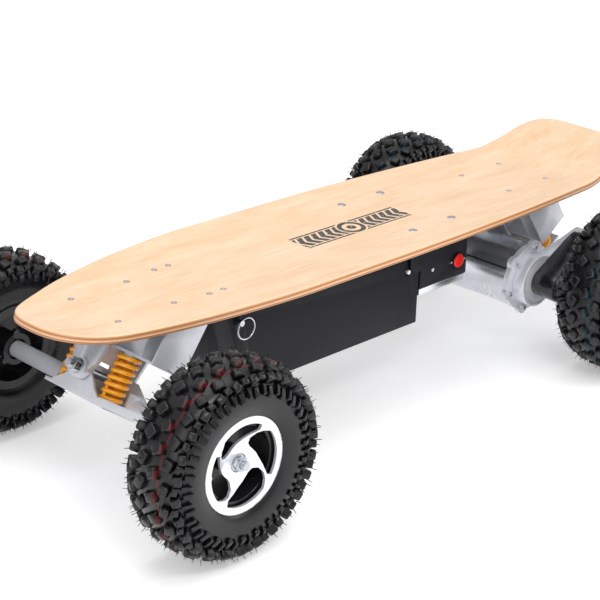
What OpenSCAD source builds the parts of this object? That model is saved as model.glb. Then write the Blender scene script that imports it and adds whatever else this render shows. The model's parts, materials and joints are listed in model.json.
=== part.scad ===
// Off-road electric skateboard: maple deck on two spring trucks, four knobby
// tyres, a battery case and a controller under the deck, and a chain drive to
// the left rear wheel. Millimetres, +X towards the nose, +Y to the rider's
// left, +Z up. The origin is under the middle of the overall box, on the ground.

/* [Wheelbase] */
// Distance between the front and rear axles
wheelbase = 889; // [840:1:960]
// Distance between the centre planes of the left and right tyres
track = 483; // [470:1:540]

/* [Deck] */
// Height of the deck's top surface above the ground, on its centre line
deck_top = 268.5; // [260:0.5:330]
// Thickness of the plywood
deck_thick = 12; // [10:0.5:15]
// Half of the greatest width
deck_half_width = 144.5; // [130:0.5:160]
// How far the edges rise above the centre line at the greatest width
deck_concave = 10; // [4:0.5:16]
// Half of the width where the tail starts to round off
tail_half_width = 115; // [100:0.5:125]
// Distance from the wheelbase's middle to the nose's tip
nose_reach = 568; // [550:1:600]
// Distance from the wheelbase's middle to the tail's tip
tail_reach = 656; // [640:1:690]
// Where the nose starts to turn up, from the wheelbase's middle
nose_kick_start = 477; // [470:1:490]
// Angle of the nose's turned up tip
nose_kick_angle = 17; // [8:0.5:22]
// Where the tail starts to turn up, from the wheelbase's middle
tail_kick_start = 496; // [480:1:510]
// Angle of the kick tail
tail_kick_angle = 13; // [8:0.5:18]

/* [Tyres and rims] */
// Outer radius of the tyre over its tread blocks
tyre_r = 140; // [134:0.5:146]
// Width of the tyre over its shoulders
tyre_w = 95; // [84:0.5:104]
// Radius of the bead seat on the rim
bead_r = 55; // [52:0.5:58]
// Outer radius of the rim's bright face ring
rim_r = 67.5; // [64:0.5:70]
// Distance from the tyre's centre plane to the rim's outer face
rim_face = 38.3; // [34:0.1:42]

/* [Axles and bearings] */
// Radius of the steel axle
axle_r = 6; // [5:0.5:7]
// Outer radius of the wheel bearings
bearing_r = 16; // [14:0.5:17]
// Width of one wheel bearing
bearing_w = 10; // [8:0.5:12]
// Outer radius of the hanger's axle tube
tube_r = 12.5; // [11:0.5:13.5]
// Radial gap between a shaft and the hole that it turns in
running_gap = 0.05; // [0.02:0.01:0.09]
// Gap between faces that pass each other
face_gap = 0.4; // [0.3:0.1:0.6]

/* [Trucks] */
// Tilt of the kingpin from level, its outer end up
pivot_tilt = 35; // [30:1:40]
// Distance from the axle to the kingpin's line
pivot_offset = 20; // [18:0.5:22]
// Radius of the kingpin
kingpin_r = 6; // [5:0.5:7]
// Distance between the deck screws of one truck, along the board
screw_pitch_x = 98; // [90:1:104]
// Distance between the deck screws of one truck, across the board
screw_pitch_y = 100; // [90:1:108]
// Distance from the wheelbase's middle to the middle of a truck's screws
screw_centre_x = 412; // [405:1:420]
// Half of the length of the spring plate, across the board
wing_half = 104; // [96:1:110]

/* [Springs] */
// Radius of the coil's centre line
coil_r = 14.8; // [13.5:0.1:15.5]
// Radius of the spring's wire
wire_r = 2.6; // [2:0.1:3]
// Number of coils that show
coils = 8; // [6:1:9]

/* [Battery and controller] */
// Length of the battery case along its bottom
battery_length = 365; // [340:1:375]
// Width of the battery case
battery_width = 170; // [162:1:180]
// Height of the battery case's bottom above the ground
battery_bottom = 120; // [110:1:130]
// Height of the battery case's top above the ground
battery_top = 246; // [236:1:249]
// How far the case's front leans forward from its bottom to its top
battery_rake = 40; // [30:1:46]
// Wall of the battery case and the controller case
case_wall = 2.5; // [2:0.5:3]
// Length of the controller case
controller_length = 110; // [100:1:115]
// Height of the controller case's bottom above the ground
controller_bottom = 173; // [166:0.5:178]

/* [Drive] */
// Radius of the motor's can
motor_r = 54; // [50:0.5:55]
// Length of the motor's can
motor_length = 130; // [120:1:140]
// Distance from the rear axle to the motor's shaft
drive_centres = 92.4; // [90:0.1:96]
// Teeth on the motor's sprocket
motor_teeth = 11; // [10:1:12]
// Teeth on the wheel's sprocket
wheel_teeth = 55; // [50:1:58]
// Pitch of the chain
chain_pitch = 6.35; // [6:0.05:6.5]

/* [Controls] */
// Travel of the power button
button_travel = 2.5; // [1.5:0.1:3]
// Radius of the power button
button_r = 11; // [8:0.1:12]
// Travel of the battery's pull pins
pin_travel = 9; // [7:0.5:11]
// Radius of the battery's pull pins
pin_r = 3; // [2.5:0.1:3.5]

/* [Hidden] */
$fn = 72;
slice = 0.01;
flank_in = 0.3;
fit_gap = 0.05;

// The overall box runs from the tail's tip to the front tyres
front_reach = wheelbase / 2 + tyre_r;
mid_x = (tail_reach - front_reach) / 2;

// Deck: the concave is a shallow cylinder along the board
concave_r = (deck_half_width * deck_half_width + deck_concave * deck_concave) / (2 * deck_concave);
deck_bottom = deck_top - deck_thick;
nose_bend_r = (nose_reach - nose_kick_start) / sin(nose_kick_angle);
nose_round_start = 180;
waist_start = 0;
tail_round_start = tail_reach - 108;
outline_steps = 24;
margin = 30;
bowl_high = 30;
tail_high = 80;
tail_flat = 100;

// Truck screws, battery bracket screws and carriage bolts, from the wheelbase's middle
screw_r = 2.5;
screw_fit = 0.3;
dome_r = 8;
dome_sink = 0.4;
front_pair_x = [279, 305];
front_pair_y = 58;
rear_pair_x = [-99, -189];
rear_pair_y = 75.8;

// Truck pieces, in a frame with X along the kingpin and its origin above the axle
base_plate_thick = 5;
base_plate_z = deck_bottom - base_plate_thick;
base_plate_half_y = 62;
spring_plate_c = 44;
spring_plate_thick = 4;
wing_front = 50;
wing_back = -13.5;
rib_thick = 3;
tongue_front = 66;
tongue_thick = 8;
back_tongue_thick = 4.5;
back_tongue_front = -13.5;
hub_boss_r = 15;
wall_front = tongue_front - tongue_thick - 2;
wall_thick = 5;
back_wall_front = -7;
back_wall_thick = 4.5;
floor_c = -36.5;
floor_thick = 5;
channel_half = 62;
bush_r = kingpin_r + 2.5;
core_half = 24;
core_bottom = 18.5;
side_arm_reach = 140;

// Spring seats
spring_a = 31;
spring_y = 44;
spring_bottom = floor_c + floor_thick;
spring_length = spring_plate_c - spring_bottom;
post_r = coil_r - wire_r - 0.8;
post_height = 9;

// Wheels, in a frame with +Y outwards and its origin at the tyre's middle
wheel_y = track / 2;
tube_end = wheel_y - 41.5;
hub_r = bearing_r + 4;
outer_bearing = 14;
hub_end = rim_face - 13;
inner_bearing = -36;
axle_end = 42.5;
washer_y = outer_bearing + bearing_w + face_gap;
washer_thick = 2;
nut_thick = 9;

// Drive
sprocket_y = 158;
sprocket_thick = 2.8;
motor_pitch_r = chain_pitch / (2 * sin(180 / motor_teeth));
wheel_pitch_r = chain_pitch / (2 * sin(180 / wheel_teeth));
motor_near = 105;
shaft_r = 5;
nose_r = 36;
arm_y = motor_near + 9;
arm_thick = 22;
guard_y = arm_y + arm_thick;

// Battery, from the wheelbase's middle
battery_back = -107;
battery_front = battery_back + battery_length;
half_case = battery_width / 2;
lid_thick = 2;
controller_front = battery_back - 5;
controller_back = controller_front - controller_length;
yoke_thick = 3;
yoke_z = deck_bottom - 0.1 - yoke_thick;
controller_top = yoke_z;
plate_thick = 11;
button_x = controller_back + 23;
button_z = 200;
bezel_screw_x = 15.6;
bezel_thick = 2;
pin_setback = 22;
pin_x = battery_front + pin_setback;
pin_z = 231;
ring_r = 15.8;
ring_wire = 1.3;
ring_hole_r = 2.2;
ring_turn = 44;
pin_head_y = half_case + 9;
bracket_thick = 2.5;
foot_thick = 3;
foot_inset = 12;
foot_z = deck_bottom + rise(front_pair_y - foot_inset) - 0.1 - foot_thick;
nut_z = foot_z - 4;
hook_x = battery_back + 26;
hook_z = 210.5;
slot_half = 6.5;
tab_x = battery_back + 7;
tab_z = 221;
tab_r = 16;

// ---- frames ---------------------------------------------------------------

module board() translate([mid_x, 0, 0]) children();

// X along the kingpin, Y across the board, Z square to both, origin above the front axle
module truck() {
    translate([wheelbase / 2, 0, tyre_r])
        rotate([0, -pivot_tilt, 0])
            translate([0, 0, pivot_offset])
                children();
}

module front() board() children();
module rear() board() mirror([1, 0, 0]) children();

// side_x is 1 at the front and -1 at the rear, side_y is 1 on the left and -1 on the right
module wheel_at(side_x, side_y) {
    board()
        translate([side_x * wheelbase / 2, side_y * wheel_y, tyre_r])
            rotate([0, 0, side_y > 0 ? 0 : 180])
                children();
}

module both_sides() for (side = [0, 1]) mirror([0, side, 0]) children();

// A cylinder along +Y from y to y + length
module across(r, y, length) translate([0, y, 0]) rotate([-90, 0, 0]) cylinder(r = r, h = length);

// A cylinder along +X from x to x + length
module along(r, x, length) translate([x, 0, 0]) rotate([0, 90, 0]) cylinder(r = r, h = length);

// A profile given in (Y, Z), extruded along +X from x
module plate_yz(x, thick) {
    translate([x, 0, 0])
        rotate([90, 0, 90])
            linear_extrude(height = thick) children();
}

// A profile given in (X, Z), extruded along +Y from y
module plate_xz(y, thick) translate([0, y + thick, 0]) rotate([90, 0, 0]) linear_extrude(height = thick) children();

module hex_nut(r, thick, bore) {
    difference() {
        cylinder(r = r, h = thick, $fn = 6);
        translate([0, 0, -1]) cylinder(r = bore, h = thick + 2);
    }
}

// ---- deck -----------------------------------------------------------------

// Half width of the deck at a distance x from the wheelbase's middle
function nose_half(x) =
    deck_half_width * pow(1 - pow((x - nose_round_start) / (nose_reach - nose_round_start), 1.58), 1 / 2.71);
function waist_half(x) =
    deck_half_width - (deck_half_width - tail_half_width) * pow((waist_start - x) / (waist_start + tail_round_start), 1.9);
function tail_half(x) =
    tail_half_width * pow(1 - pow((-x - tail_round_start) / (tail_reach - tail_round_start), 3.9), 1 / 3.9);

// Steps close up towards a tip, where the outline turns fastest
function ease(i) = 1 - pow(1 - i / outline_steps, 3);
side_points = concat(
    [for (i = [outline_steps:-1:0])
        let (x = nose_round_start + ease(i) * (nose_reach - nose_round_start)) [x, nose_half(x)]],
    [for (i = [0:outline_steps / 2])
        let (x = waist_start - i * 2 / outline_steps * (waist_start + tail_round_start)) [x, waist_half(x)]],
    [for (i = [1:outline_steps])
        let (x = -tail_round_start - ease(i) * (tail_reach - tail_round_start)) [x, tail_half(x)]]
);
deck_outline = concat(side_points,
    [for (i = [len(side_points) - 2:-1:1]) [side_points[i][0], -side_points[i][1]]]);

// What lies above a concave surface of the given radius, in (Y, Z), with Z from the deck's top on the centre line
module bowl(radius, high) {
    intersection() {
        translate([0, concave_r]) circle(r = radius, $fn = 180);
        translate([-deck_half_width - margin, -deck_thick - 1]) square([2 * (deck_half_width + margin), high]);
    }
}

// The deck's cross section
module deck_section() {
    difference() {
        bowl(concave_r + deck_thick, bowl_high);
        bowl(concave_r, bowl_high + margin);
    }
}

// A bowl along the flat and the tail at once: it lies above both where they meet in a crease
module tail_bowl(radius, high) {
    past = tail_reach - tail_kick_start + margin;
    intersection() {
        plate_yz(-tail_flat, tail_flat + past) bowl(radius, high);
        rotate([0, -tail_kick_angle, 0]) plate_yz(-tail_flat - margin, tail_flat + 2 * margin + past) bowl(radius, high);
    }
}

// The cross section swept along an arc that turns up, starting at x = 0 towards +X
module bend(radius, angle) {
    translate([0, 0, radius])
        rotate([90, 0, 0])
            rotate([0, 0, -90])
                rotate_extrude(angle = angle, $fn = 180)
                    rotate([0, 0, 90]) translate([0, -radius]) deck_section();
}

module deck_sheet() {
    translate([tail_flat - tail_kick_start, 0, deck_top])
        plate_yz(0, nose_kick_start + tail_kick_start - tail_flat) deck_section();
    translate([nose_kick_start, 0, deck_top]) bend(nose_bend_r, nose_kick_angle + 2);
    translate([-tail_kick_start, 0, deck_top])
        mirror([1, 0, 0])
            difference() {
                tail_bowl(concave_r + deck_thick, tail_high);
                tail_bowl(concave_r, tail_high + margin);
            }
}

// Every fastener that passes through the deck
module at_truck_screws() {
    for (end = [-1, 1], x = [-1, 1], y = [-1, 1])
        translate([end * (screw_centre_x + x * screw_pitch_x / 2), y * screw_pitch_y / 2, 0]) children();
}
module at_bracket_screws() for (x = front_pair_x, y = [-1, 1]) translate([x, y * front_pair_y, 0]) children();
module at_carriage_bolts() for (x = rear_pair_x, y = [-1, 1]) translate([x, y * rear_pair_y, 0]) children();

// Height of the deck's top surface at a distance y from the centre line
function rise(y) = concave_r - sqrt(concave_r * concave_r - y * y);

module countersink(y) {
    translate([0, 0, deck_top + rise(y) - 3.2]) cylinder(r1 = screw_r + screw_fit, r2 = 6, h = 3.4);
}

module deck() {
    color("burlywood")
        board()
            difference() {
                intersection() {
                    deck_sheet();
                    translate([0, 0, deck_bottom - margin])
                        linear_extrude(height = 200) polygon(deck_outline);
                }
                at_truck_screws() {
                    translate([0, 0, deck_bottom - margin]) cylinder(r = screw_r + screw_fit, h = 80);
                    countersink(screw_pitch_y / 2);
                }
                at_bracket_screws() {
                    translate([0, 0, deck_bottom - margin]) cylinder(r = screw_r + screw_fit, h = 80);
                    countersink(front_pair_y);
                }
                at_carriage_bolts() {
                    translate([0, 0, deck_bottom - margin]) cylinder(r = screw_r + 0.5 + screw_fit, h = 80);
                    translate([0, 0, deck_top + rise(rear_pair_y) - dome_sink]) cylinder(r = dome_r + screw_fit, h = 6);
                }
            }
}

// A countersunk screw whose head ends flush with the deck, reaching down to z
module deck_screw(y, z) {
    top = deck_top + rise(y) - 0.5;
    translate([0, 0, z]) cylinder(r = screw_r, h = top - z);
    translate([0, 0, top - 2.6]) cylinder(r1 = screw_r, r2 = 5, h = 2.6);
}

module deck_screws() color("silver") board() at_truck_screws() deck_screw(screw_pitch_y / 2, base_plate_z - 8);

module deck_nuts() {
    color("silver")
        board() {
            at_truck_screws() translate([0, 0, base_plate_z - 4.5]) hex_nut(4.6, 4.5, screw_r);
            at_bracket_screws() translate([0, 0, nut_z]) hex_nut(4.6, 4, screw_r);
        }
}

module bracket_screws() {
    color("silver") board() at_bracket_screws() deck_screw(front_pair_y, nut_z - 2);
}

module carriage_bolts() {
    color("dimgray")
        board()
            at_carriage_bolts() {
                top = deck_top + rise(rear_pair_y);
                translate([0, 0, yoke_z]) cylinder(r = screw_r + 0.5, h = top - yoke_z);
                intersection() {
                    translate([0, 0, top - dome_sink + 2.4 - 14]) sphere(r = 14);
                    translate([0, 0, top - dome_sink]) cylinder(r = dome_r, h = 4);
                }
            }
}

// ---- trucks ---------------------------------------------------------------

// Everything above the deck's underside
module above_deck() {
    translate([0, 0, deck_top + concave_r]) rotate([0, 90, 0]) cylinder(r = concave_r + deck_thick, h = 900, $fn = 180);
}

module tongue_profile(half_top, c_shoulder) {
    circle(r = hub_boss_r);
    polygon([
        [-hub_boss_r + 0.3, 2], [-half_top * 0.84, 12], [-half_top, c_shoulder], [-half_top, 130],
        [half_top, 130], [half_top, c_shoulder], [half_top * 0.84, 12], [hub_boss_r - 0.3, 2],
    ]);
}

module base() {
    plate_x = screw_centre_x - screw_pitch_x / 2 - 15;
    plate_end = screw_centre_x + screw_pitch_x / 2 + 14;
    rib_top = deck_bottom + rise(wing_half) + 1;
    difference() {
        union() {
            translate([plate_x, -base_plate_half_y, base_plate_z])
                cube([plate_end - plate_x, 2 * base_plate_half_y, base_plate_thick + 6]);
            intersection() {
                truck() {
                    plate_yz(tongue_front - tongue_thick, tongue_thick) tongue_profile(28, 32);
                    along(hub_boss_r, tongue_front - tongue_thick, tongue_thick + 4);
                    translate([tongue_front - 1, -3, 12]) cube([7, 6, 120]);
                    plate_yz(back_tongue_front - back_tongue_thick, back_tongue_thick) tongue_profile(33, 44);
                    translate([wing_back, -wing_half, spring_plate_c])
                        cube([wing_front - wing_back, 2 * wing_half, spring_plate_thick]);
                    for (y = [-wing_half, -79, -27, 24, 76, wing_half - rib_thick])
                        translate([wing_back, y, spring_plate_c + 1]) cube([wing_front - wing_back, rib_thick, 130]);
                    translate([back_tongue_front - 1, -core_half, core_bottom])
                        cube([tongue_front - tongue_thick - back_tongue_front + 2, 2 * core_half, 28]);
                    both_sides()
                        translate([spring_a, spring_y, spring_plate_c - post_height])
                            cylinder(r = post_r, h = post_height + 1);
                }
                translate([0, -200, 0]) cube([900, 400, rib_top]);
            }
        }
        above_deck();
        translate([0, 0, base_plate_z - 20])
            for (x = [-1, 1], y = [-1, 1])
                translate([screw_centre_x + x * screw_pitch_x / 2, y * screw_pitch_y / 2, 0]) {
                    cylinder(r = screw_r + screw_fit, h = 40);
                    cylinder(r = 7, h = 20);
                }
        truck() along(kingpin_r + 0.02, -60, 160);
    }
}

module front_base() color("lightgray") front() base();
module rear_base() color("lightgray") rear() base();

// Kingpin: low head behind the back tongue, nut in front of the front tongue
module kingpin() {
    head_x = back_tongue_front - back_tongue_thick;
    nut_x = tongue_front + 4;
    truck() {
        along(kingpin_r, head_x, nut_x + 20 - head_x);
        along(9, head_x - 4, 4);
        difference() {
            union() {
                along(11, nut_x, 2);
                translate([nut_x + 2, 0, 0]) rotate([0, 90, 0]) cylinder(r = 10.5, h = 11, $fn = 6);
            }
            along(kingpin_r - slice, nut_x - 1, 30);
        }
    }
}

module front_kingpin() color("gainsboro") front() kingpin();
module rear_kingpin() color("gainsboro") rear() kingpin();

// Flanged sleeves that carry the hanger on the kingpin
module pivot_bushes() {
    truck()
        for (span = [[wall_front - wall_thick, wall_thick], [back_wall_front - back_wall_thick, back_wall_thick]])
            difference() {
                union() {
                    along(bush_r, span[0], span[1]);
                    along(bush_r + 2.5, span[0] + span[1], 1.4);
                }
                along(kingpin_r + running_gap, span[0] - 5, 20);
            }
}

module front_pivot_bushes() color("khaki") front() pivot_bushes();
module rear_pivot_bushes() color("khaki") rear() pivot_bushes();

module front_wall_profile() {
    difference() {
        union() {
            circle(r = hub_boss_r - 1);
            polygon([
                [-14, 0], [-25, -9.5], [-33, -18.5], [-43, -25.5], [-52, -33], [-46, floor_c],
                [46, floor_c], [52, -33], [43, -25.5], [33, -18.5], [25, -9.5], [14, 0],
            ]);
        }
        circle(r = bush_r + fit_gap);
    }
}

module back_wall_profile() {
    difference() {
        polygon([
            [-40, 12], [40, 12], [73, -8.5], [73, -24], [52, floor_c], [-52, floor_c], [-73, -24], [-73, -8.5],
        ]);
        circle(r = bush_r + fit_gap);
    }
}

// Channel with a tall wall at each end, a seat for each spring and an axle tube on each side
module hanger() {
    inner_a = back_wall_front - back_wall_thick;
    difference() {
        truck() {
            plate_yz(wall_front - wall_thick, wall_thick) front_wall_profile();
            plate_yz(inner_a, back_wall_thick) back_wall_profile();
            translate([inner_a, -channel_half, floor_c])
                cube([wall_front - inner_a, 2 * channel_half, floor_thick]);
            both_sides() {
                translate([inner_a, channel_half - 5, floor_c]) cube([26, 5, 34]);
                translate([spring_a, spring_y, spring_bottom - 1]) cylinder(r = post_r, h = post_height + 1);
                translate([0, 0, -pivot_offset]) rotate([0, pivot_tilt, 0])
                    across(tube_r, channel_half - 6, tube_end - channel_half + 6);
            }
        }
        truck() both_sides()
            translate([0, 0, -pivot_offset]) rotate([0, pivot_tilt, 0])
                across(axle_r, channel_half - 20, 200);
    }
}

// Flat arm that the front hanger carries on its left, flush with the channel's front
module side_arm() {
    truck()
        plate_yz(wall_front - 4, 4)
            polygon([
                [channel_half - 16, floor_c + 1], [side_arm_reach, -31], [side_arm_reach, -20],
                [channel_half, -23.5], [channel_half - 16, -25],
            ]);
}

module front_hanger() {
    color("whitesmoke")
        front()
            union() {
                hanger();
                side_arm();
            }
}

module rear_hanger() color("whitesmoke") rear() hanger();

// Coils as rings on a thin sleeve, between the two seats
module spring() {
    pitch = (spring_length - 2 * wire_r) / (coils - 1);
    truck()
        translate([spring_a, spring_y, spring_bottom])
            rotate_extrude()
                union() {
                    for (i = [0:coils - 1]) translate([coil_r, wire_r + i * pitch]) circle(r = wire_r, $fn = 32);
                    translate([coil_r - 0.5, wire_r]) square([1, spring_length - 2 * wire_r]);
                }
}

module front_spring_left() color("orange") front() spring();
module front_spring_right() color("orange") front() mirror([0, 1, 0]) spring();
module rear_spring_left() color("orange") rear() spring();
module rear_spring_right() color("orange") rear() mirror([0, 1, 0]) spring();

// ---- axles and wheels -----------------------------------------------------

// Stub axles: from inside the hanger's tubes to past the wheel nuts, with a shoulder sleeve
module axles(side_x) {
    for (side_y = [-1, 1])
        wheel_at(side_x, side_y) {
            start = channel_half - 5 - wheel_y;
            across(axle_r, start, axle_end - start);
            difference() {
                across(axle_r + 3.5, tube_end - wheel_y, inner_bearing - face_gap - tube_end + wheel_y);
                across(axle_r - slice, -60, 80);
            }
        }
}

module front_axles() color("silver") axles(1);
module rear_axles() color("silver") axles(-1);

module axle_nuts(side_x) {
    for (side_y = [-1, 1])
        wheel_at(side_x, side_y)
            difference() {
                union() {
                    across(12, washer_y, washer_thick);
                    translate([0, washer_y + washer_thick, 0]) rotate([-90, 0, 0])
                        cylinder(r = 10.5, h = nut_thick, $fn = 6);
                }
                across(axle_r, washer_y - 1, 20);
            }
}

module front_axle_nuts() color("silver") axle_nuts(1);
module rear_axle_nuts() color("silver") axle_nuts(-1);

// Turns a profile in (radius, width) round the axle, width along +Y
module turned() rotate([-90, 0, 0]) rotate_extrude() children();

// Tyre: an open carcass, from one bead round to the other
module tyre() {
    crown_r = 26;
    crown_x = tyre_r - crown_r;
    half = tyre_w / 2;
    wall = 9;
    bead_half = rim_face - 11.6;
    bead_top = rim_r + 1;
    turned()
        difference() {
            union() {
                for (side = [-1, 1]) translate([crown_x, side * (half - crown_r)]) circle(r = crown_r);
                polygon([
                    [bead_r + fit_gap, -bead_half], [bead_top - 3.5, -bead_half], [bead_top, -bead_half - 4],
                    [bead_top, -rim_face], [bead_top + 10, -half + 2], [bead_top + 22, -half], [crown_x, -half],
                    [crown_x, -half + crown_r], [tyre_r, -half + crown_r], [tyre_r, half - crown_r],
                    [crown_x, half - crown_r], [crown_x, half], [bead_top + 22, half], [bead_top + 10, half - 2],
                    [bead_top, rim_face], [bead_top, bead_half + 4], [bead_top - 3.5, bead_half],
                    [bead_r + fit_gap, bead_half],
                ]);
            }
            polygon([
                [bead_r - 1, -bead_half + wall], [bead_top, -bead_half + wall], [bead_top + 14, -half + wall],
                [crown_x, -half + wall], [crown_x, half - wall], [bead_top + 14, half - wall],
                [bead_top, bead_half - wall], [bead_r - 1, bead_half - wall],
            ]);
            translate([crown_x - 1, -half + crown_r]) square([crown_r - wall - 4, tyre_w - 2 * crown_r]);
            for (side = [-1, 1])
                translate([crown_x, side * (half - crown_r)]) circle(r = crown_r - wall);
        }
}

function polar(r, angle) = [r * cos(angle), r * sin(angle)];

// One window of the rim's face: wide behind one blade, running out to a thin tail under the next
module rim_window() {
    outer = rim_r - 10;
    polygon(concat(
        [for (step = [0:8]) polar(outer, 19 + step * 8.6)],
        [polar(50, 90), polar(40, 76), polar(33.5, 62), polar(29.5, 45), polar(26.5, 28), polar(25.5, 14),
            polar(28, 0), polar(36, -6), polar(45, -1), polar(51, 7)]
    ));
}

// Bright face: a disc with four swirling windows, recessed round the hub
module rim_face_body() {
    face_thick = 8;
    rotate([-90, 0, 0])
        difference() {
            union() {
                translate([0, 0, rim_face - face_thick]) cylinder(r = rim_r, h = face_thick);
                translate([0, 0, hub_end]) cylinder(r = 24, h = face_thick);
            }
            translate([0, 0, rim_face - 4]) cylinder(r = 22, h = face_thick);
            translate([0, 0, hub_end - 1]) cylinder(r = 13, h = 40);
            translate([0, 0, rim_face - 20])
                linear_extrude(height = 40)
                    for (turn = [0:3]) rotate([0, 0, turn * 90 - 33]) mirror([0, 1]) rim_window();
        }
}

// Dark barrel: bead seats and flanges, a web, the hub and its two bearing seats
module rim_barrel_body() {
    barrel_t = 3;
    flange_r = rim_r - 3;
    outer_flange = rim_face - 8;
    turned()
        difference() {
            union() {
                translate([bead_r - barrel_t, -rim_face + 2]) square([barrel_t, rim_face + outer_flange - 2]);
                translate([bead_r - barrel_t, outer_flange - barrel_t]) square([flange_r - bead_r + barrel_t, barrel_t]);
                translate([bead_r - barrel_t, -rim_face + 2]) square([flange_r - bead_r + barrel_t, barrel_t]);
                translate([bearing_r, -4]) square([bead_r - bearing_r - 1, 5]);
                translate([bearing_r - 3, inner_bearing - 2]) square([hub_r - bearing_r + 3, hub_end - inner_bearing + 2]);
            }
            translate([0, inner_bearing - 3]) square([bearing_r, bearing_w + 3]);
            translate([0, outer_bearing]) square([bearing_r, bearing_w + 20]);
        }
    // Ring with three bolt lobes on the inner side
    translate([0, inner_bearing - 1, 0]) rotate([90, 0, 0])
        difference() {
            union() {
                cylinder(r = hub_r + 4, h = 6);
                for (turn = [0:2]) rotate([0, 0, 90 + turn * 120]) translate([hub_r + 5, 0, 0]) cylinder(r = 5, h = 6);
            }
            translate([0, 0, -1]) cylinder(r = bearing_r + fit_gap, h = 8);
        }
}

// Two bearings with a running fit on the axle
module bearing_pair() {
    for (y = [inner_bearing, outer_bearing])
        difference() {
            across(bearing_r, y, bearing_w);
            across(axle_r + running_gap, y - 1, bearing_w + 2);
        }
}

module tyre_front_left() color("black") wheel_at(1, 1) tyre();
module tyre_front_right() color("black") wheel_at(1, -1) tyre();
module tyre_rear_left() color("black") wheel_at(-1, 1) tyre();
module tyre_rear_right() color("black") wheel_at(-1, -1) tyre();
module rim_face_front_left() color("silver") wheel_at(1, 1) rim_face_body();
module rim_face_front_right() color("silver") wheel_at(1, -1) rim_face_body();
module rim_face_rear_left() color("silver") wheel_at(-1, 1) rim_face_body();
module rim_face_rear_right() color("silver") wheel_at(-1, -1) rim_face_body();
module rim_barrel_front_left() color("dimgray") wheel_at(1, 1) rim_barrel_body();
module rim_barrel_front_right() color("dimgray") wheel_at(1, -1) rim_barrel_body();
module rim_barrel_rear_left() color("dimgray") wheel_at(-1, 1) rim_barrel_body();
module rim_barrel_rear_right() color("dimgray") wheel_at(-1, -1) rim_barrel_body();
module bearings_front_left() color("silver") wheel_at(1, 1) bearing_pair();
module bearings_front_right() color("silver") wheel_at(1, -1) bearing_pair();
module bearings_rear_left() color("silver") wheel_at(-1, 1) bearing_pair();
module bearings_rear_right() color("silver") wheel_at(-1, -1) bearing_pair();

// ---- battery --------------------------------------------------------------

// Outline of the case in (X, Z), moved in by a wall, up to a given height
module case_outline(wall, top) {
    lean = battery_rake / (battery_top - battery_bottom);
    polygon([
        [battery_back + wall, battery_bottom + wall],
        [battery_front - wall * 1.1 + wall * lean, battery_bottom + wall],
        [battery_front - wall * 1.1 + (top - battery_bottom) * lean, top],
        [battery_back + wall, top],
    ]);
}

module battery_case() {
    color("#2c2c30")
        board()
            difference() {
                plate_xz(-half_case, battery_width) case_outline(0, battery_top - lid_thick);
                plate_xz(-half_case + case_wall, battery_width - 2 * case_wall)
                    case_outline(case_wall, battery_top);
                translate([hook_x - slot_half, -half_case - 1, hook_z])
                    cube([2 * slot_half, battery_width + 2, 80]);
                translate([hook_x, 0, hook_z]) across(slot_half, -half_case - 1, battery_width + 2);
                translate([pin_x, 0, pin_z]) across(pin_r + 0.3, -half_case - 1, battery_width + 2);
            }
}

module battery_lid() {
    color("#2c2c30")
        board()
            difference() {
                plate_xz(-half_case, battery_width)
                    intersection() {
                        case_outline(0, battery_top);
                        translate([-500, battery_top - lid_thick]) square([1000, lid_thick]);
                    }
                both_sides()
                    translate([hook_x - slot_half - 4, half_case - 9, battery_top - 10])
                        cube([2 * slot_half + 8, 10, 20]);
            }
}

// Three blocks side by side along the case
module battery_cells() {
    gap = 2;
    room = battery_length - 2 * case_wall - 30;
    length = room / 3;
    for (i = [0:2])
        color("slategray")
            board()
                translate([battery_back + 26 + i * length, -half_case + case_wall + 8, battery_bottom + case_wall])
                    cube([length - gap, battery_width - 2 * case_wall - 16, 96]);
}

// Angle bracket at a front corner of the case: a foot under the deck, a flap on the side and a lug for the pin
module battery_bracket() {
    lean = battery_rake / (battery_top - battery_bottom);
    side_y = half_case + 0.3;
    board()
        difference() {
            union() {
                translate([front_pair_x[0] - 14, front_pair_y - foot_inset, foot_z])
                    cube([front_pair_x[1] - front_pair_x[0] + 26, side_y + bracket_thick - front_pair_y + foot_inset,
                        foot_thick]);
                plate_xz(side_y, bracket_thick)
                    polygon([
                        [front_pair_x[0] - 14, foot_z + 2], [front_pair_x[0] - 14, pin_z - 6],
                        [battery_front + 3 + 40 * lean - 22, battery_bottom + 40],
                        [battery_front + 3 + 40 * lean, battery_bottom + 40],
                        [battery_front + 3 + (foot_z + 2 - battery_bottom) * lean, foot_z + 2],
                    ]);
                plate_xz(side_y - 34, 34 + bracket_thick)
                    polygon([
                        [battery_front + 0.4 + 40 * lean, battery_bottom + 40],
                        [battery_front + 3 + 40 * lean, battery_bottom + 40],
                        [battery_front + 3 + (foot_z + 2 - battery_bottom) * lean, foot_z + 2],
                        [battery_front + 0.4 + (foot_z + 2 - battery_bottom) * lean, foot_z + 2],
                    ]);
                translate([pin_x, 0, pin_z]) across(6.5, side_y, bracket_thick + 2);
            }
            translate([pin_x, 0, pin_z]) across(pin_r + running_gap, side_y - 5, 20);
            translate([0, 0, foot_z - 10])
                for (x = front_pair_x)
                    translate([x, front_pair_y, 0]) {
                        cylinder(r = screw_r + screw_fit, h = 30);
                        cylinder(r = 6.5, h = 10);
                    }
        }
}

module battery_bracket_left() color("#222226") battery_bracket();
module battery_bracket_right() color("#222226") mirror([0, 1, 0]) battery_bracket();

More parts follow.
